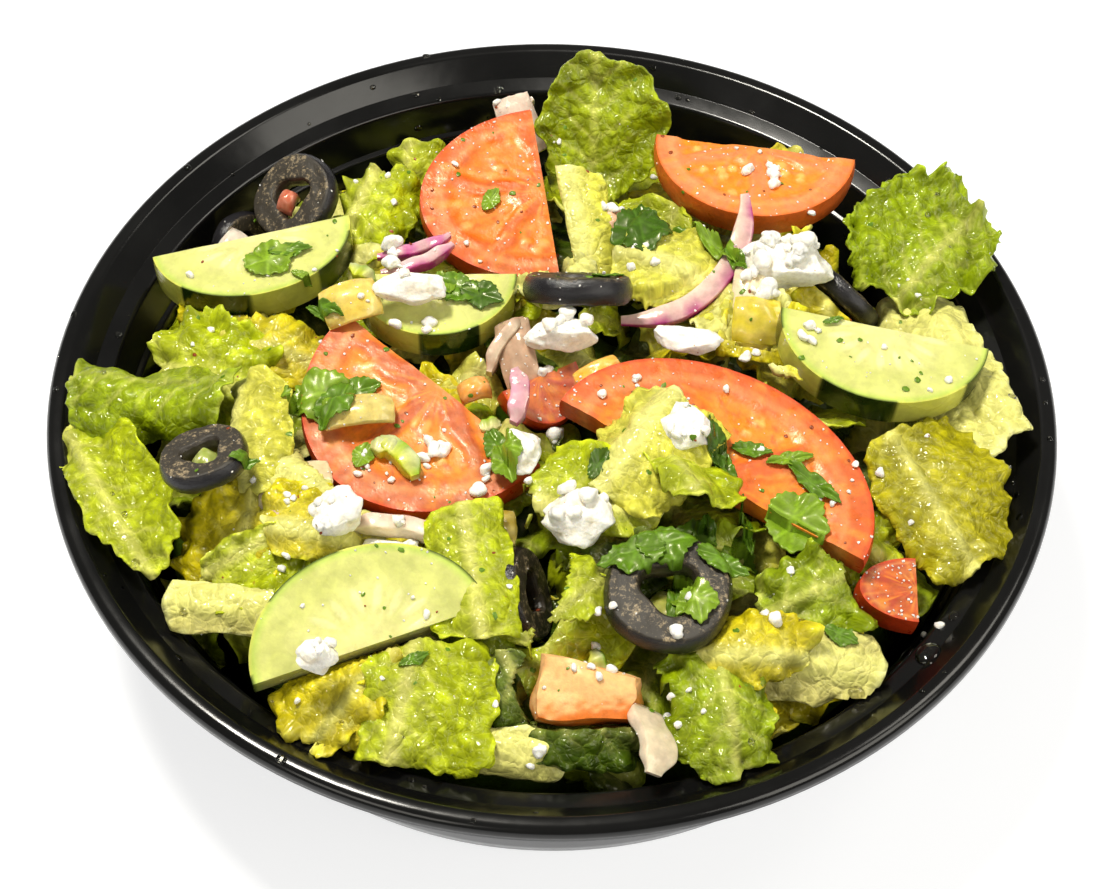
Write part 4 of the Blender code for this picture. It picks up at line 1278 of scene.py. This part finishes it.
def parsley_leaf(bm, paint, x, y, size, turn, slim, colour, seed):
    """A three-lobed toothed leaflet, its stem at the back, draped at x, y."""
    made = bmesh.ops.create_grid(bm, x_segments=20, y_segments=20, size=1)["verts"]
    middle = drop_on(x, y)[0].z
    spin = Matrix.Rotation(math.radians(turn), 3, "Z")
    for vert in made:
        u, v = vert.co.xy
        u, v = u * math.sqrt(1 - v * v / 2), v * math.sqrt(1 - u * u / 2)
        reach, angle = math.hypot(u, v), math.atan2(v, u)
        lobe = max(math.exp(-(((angle - lobe_at) / LOBE_WIDTH) ** 2)) for lobe_at in LOBES)
        tooth = abs((angle * 3.1 + seed) % 1.0 - 0.5)
        edge = 0.78 + 0.22 * lobe + 0.18 * (tooth - 0.25) * reach**4
        place = spin @ Vector((u * edge, v * edge * slim, 0)) * size * 0.58
        place.x, place.y = place.x + x, place.y + y
        ground = drop_on(place.x, place.y)[0].z
        rib = min(abs(math.sin(angle - lobe_at)) for lobe_at in LOBES) * reach
        crinkle = 0.5 * noise.noise(Vector((u * 2.2, v * 2.2, seed))) + 0.5 * fade(rib, 0.0, 0.3)
        draped = max(middle - DEEPEST_DRAPE, min(middle + DEEPEST_DRAPE, ground))
        place.z = draped + 0.5 + crinkle * size / 12 * (0.4 + reach)
        vert.co = place
        # Pale along each lobe's midrib, the leaf's own colour, and painted light: the raised crinkles of the
        # blade are made lighter.
        light = 0.75 + 0.5 * fade(rib, 0.10, 0.0) + 0.35 * crinkle
        vert[paint] = (*(c * light for c in colour), 1.0)


parsley_green = wet_material("parsley_green", 0.7, 0.05, 0.38, 0.05, (0.6, 1.0, 0.2), coat=0.1)
bm = bmesh.new()
paint = bm.verts.layers.float_color.new("tone")
for number, (x, y, size, turn, slim, colour) in enumerate(PARSLEY_LEAVES):
    parsley_leaf(bm, paint, x, y, size, turn, slim, colour, number * 0.37)
parsley = finish_piece("torn_parsley", bm, parsley_green, "lettuce", smooth_angle=70)
leaf_body = parsley.modifiers.new("leaf", "SOLIDIFY")
leaf_body.thickness = PARSLEY_THICKNESS * MM
leaf_body.offset = 0

SCALLION_GREEN = (0.20, 0.38, 0.006)
SCALLION_PALE = (0.50, 0.56, 0.02)
# x, y, radius of the curve, degrees of it, thickness, azimuth, lean.
SCALLIONS = [
    (-26, -23.5, 14, 42, 3.6, 44, 6),
    (-29, -22, 10, 30, 3.0, 70, 10),
    (-35.5, 15.5, 9, 34, 2.6, 60, 10),
    (9, -60, 12, 34, 3.0, 10, 40),
    (-11, -16, 9, 24, 2.6, 100, 10),
    (45, 9, 10, 30, 3.0, 60, 20),
]
for number, (x, y, radius, degrees, thickness, azimuth, lean) in enumerate(SCALLIONS):
    bm = onion_strip(
        radius, degrees, thickness, thickness, SCALLION_GREEN, SCALLION_PALE, number + 7, steps=14
    )
    bmesh.ops.translate(bm, vec=(-radius, 0, 0), verts=bm.verts)
    bmesh.ops.transform(bm, matrix=turned_to(azimuth, lean, -90), verts=bm.verts)
    bmesh.ops.translate(bm, vec=drop_on(x, y)[0] + Vector((0, 0, thickness * 0.45)), verts=bm.verts)
    finish_piece(f"scallion_{number}", bm, parsley_green, "lettuce")

# ---------------------------------------------------------------------------------------------
# Crumbs of feta, from lumps of 4 mm down to a fine white sprinkle, and flakes of dried chilli.

LARGE_CRUMB = 2.4
CHILLI_RED = (0.26, 0.04, 0.01)
# x, y, spread, how many, size.
CRUMB_SPOTS = [
    (44, 23, 6, 16, 3.4),
    (40, 18, 5, 8, 4.2),
    (47, 27, 4, 6, 4.5),
    (39, 49, 4, 8, 2.6),
    (41, 48, 1.5, 2, 4.4),
    (-27, 9, 6, 9, 3.0),
    (-31, 24, 2.5, 4, 4.4),
    (-31, 20, 2, 3, 3.4),
    (-30, -24, 4, 14, 1.6),
    (-21, -22, 3, 6, 3.4),
    (-11, -27, 2.5, 4, 3.4),
    (-36, -40, 3, 5, 3.0),
    (-25, -41, 4, 8, 3.4),
    (5, -35, 4, 6, 3.2),
    (23, -21, 3, 5, 2.8),
    (1, 1, 5, 8, 3.2),
    (1, -13, 1, 2, 4.4),
    (-12, -13, 1, 2, 4.4),
    (39, -1, 2, 4, 3.2),
    (13, -8, 3, 4, 1.8),
    (50, -27, 4, 7, 1.6),
    (46, 3, 2, 4, 2.6),
    (35, 3, 2, 3, 3.4),
    (-17, 26, 4, 4, 1.8),
    (10, 37, 3, 5, 3.0),
    (16, 24, 3, 4, 2.2),
    (-42, -33, 3, 4, 2.0),
    (-38, -66, 3, 5, 2.2),
    (37, -56, 2, 2, 3.2),
    (6, -60, 6, 8, 2.0),
    (23, -68, 4, 5, 2.0),
    (-2, -77, 2, 3, 2.6),
    (66, -47, 2, 2, 3.0),
    (-47, 20, 8, 10, 1.2),
    (20, -62, 3, 3, 2.4),
]


def scatter_lumps(name, places, colour, material, slot, flat, detail):
    """Small irregular lumps, one mesh of them all; places are x, y and size."""
    bm = bmesh.new()
    for number, (x, y, size) in enumerate(places):
        place, normal = drop_on(x, y)
        lie = normal.to_track_quat("Z", "Y").to_matrix().to_4x4()
        spot = Matrix.Translation(place + normal * size * 0.28 * flat)
        slim = 0.6 + 0.4 * ((number * 0.618) % 1)
        shape = Matrix.Diagonal((size / 2, size / 2 * slim, size / 2 * flat, 1))
        spin = Matrix.Rotation(number * 2.4, 4, "Z")
        matrix = spot @ lie @ spin @ shape
        made = bmesh.ops.create_icosphere(bm, subdivisions=detail, radius=1, matrix=matrix)
        centre = spot.translation
        for vert in made["verts"]:
            away = vert.co - centre
            grain = noise.noise(away * 2.2 / size + Vector((number * 1.7, 0, 0)))
            facet = noise.voronoi(away * 1.3 / size + Vector((0, number * 2.3, 0)))[0][0]
            vert.co = centre + away * (1.12 + 0.5 * grain - 0.35 * facet)
    paint = bm.verts.layers.float_color.new("tone")
    for vert in bm.verts:
        vert[paint] = (*colour, 1.0)
    finish_piece(name, bm, material, slot, smooth_angle=50)


def random_places(pick, count, sizes, reach=72.0):
    """Random places over the salad, at even density, with a size for each."""
    places = []
    for _ in range(count):
        angle, distance = pick.uniform(0, math.tau), reach * math.sqrt(pick.random())
        places.append((distance * math.cos(angle), distance * math.sin(angle), pick.uniform(*sizes)))
    return places


pick = random.Random(5)
crumbs = random_places(pick, 70, (0.8, 2.0))
for x, y, spread, count, size in CRUMB_SPOTS:
    for _ in range(count):
        crumb_x, crumb_y = x + pick.uniform(-spread, spread), y + pick.uniform(-spread, spread)
        crumbs.append((crumb_x, crumb_y, size * pick.uniform(0.45, 1.1)))
large_crumbs = [crumb for crumb in crumbs if crumb[2] > LARGE_CRUMB]
small_crumbs = [crumb for crumb in crumbs if crumb[2] <= LARGE_CRUMB]
scatter_lumps("feta_large_crumbs", large_crumbs, FETA_WHITE, feta_white, "feta", 0.75, 3)
scatter_lumps("feta_small_crumbs", small_crumbs, FETA_WHITE, feta_white, "feta", 0.75, 2)
sprinkle = random_places(pick, 700, (0.25, 0.55), 76.0)
for node, *_ in TOMATOES:
    node_low, node_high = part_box(node)
    for _ in range(60):
        x, y = pick.uniform(node_low.x, node_high.x) / MM, pick.uniform(node_low.y, node_high.y) / MM
        sprinkle.append((x, y, pick.uniform(0.25, 0.7)))
scatter_lumps("feta_sprinkle", sprinkle, FETA_WHITE, feta_white, "feta", 0.6, 1)
herb_flecks = random_places(pick, 150, (0.6, 1.6), 74.0)
scatter_lumps("herb_flecks", herb_flecks, PARSLEY, parsley_green, "lettuce", 0.3, 1)
chilli = random_places(pick, 90, (0.5, 1.1), 74.0)
scatter_lumps("chilli_flakes", chilli, CHILLI_RED, parsley_green, "pepper", 0.4, 1)

# ---------------------------------------------------------------------------------------------
# Beads of dressing on the bowl's ledge and rim. Clear, low drops with a bright spot each.

BEAD_HEIGHT = 0.42
bm = bmesh.new()
pick = random.Random(9)
# x, y and half the width of each large drop.
beads = [(65, -54, 2.6), (60.5, -54, 2.0), (57.5, -58, 1.6), (63, -50, 2.4), (70, -46, 1.2), (52, -62, 1.4)]
for _ in range(90):
    angle, reach = pick.uniform(-math.pi, math.pi), pick.uniform(78.5, 91)
    beads.append((reach * math.cos(angle), reach * math.sin(angle), pick.uniform(0.35, 1.0) ** 1.5))
for x, y, size in beads:
    place, normal = drop_on(x, y)
    lie = normal.to_track_quat("Z", "Y").to_matrix().to_4x4()
    shape = Matrix.Diagonal((size, size * pick.uniform(0.7, 1.0), size * BEAD_HEIGHT, 1))
    matrix = Matrix.Translation(place + normal * BEAD_HEIGHT) @ lie @ shape
    bmesh.ops.create_icosphere(bm, subdivisions=3, radius=1, matrix=matrix)
clear_oil, shader, put = new_material("clear_oil")
shader.inputs["Base Color"].default_value = (0.95, 0.93, 0.80, 1.0)
shader.inputs["Roughness"].default_value = 0.03
shader.inputs["IOR"].default_value = 1.45
shader.inputs["Transmission Weight"].default_value = 1.0
finish_piece("beads_of_dressing", bm, clear_oil, "black_plastic")
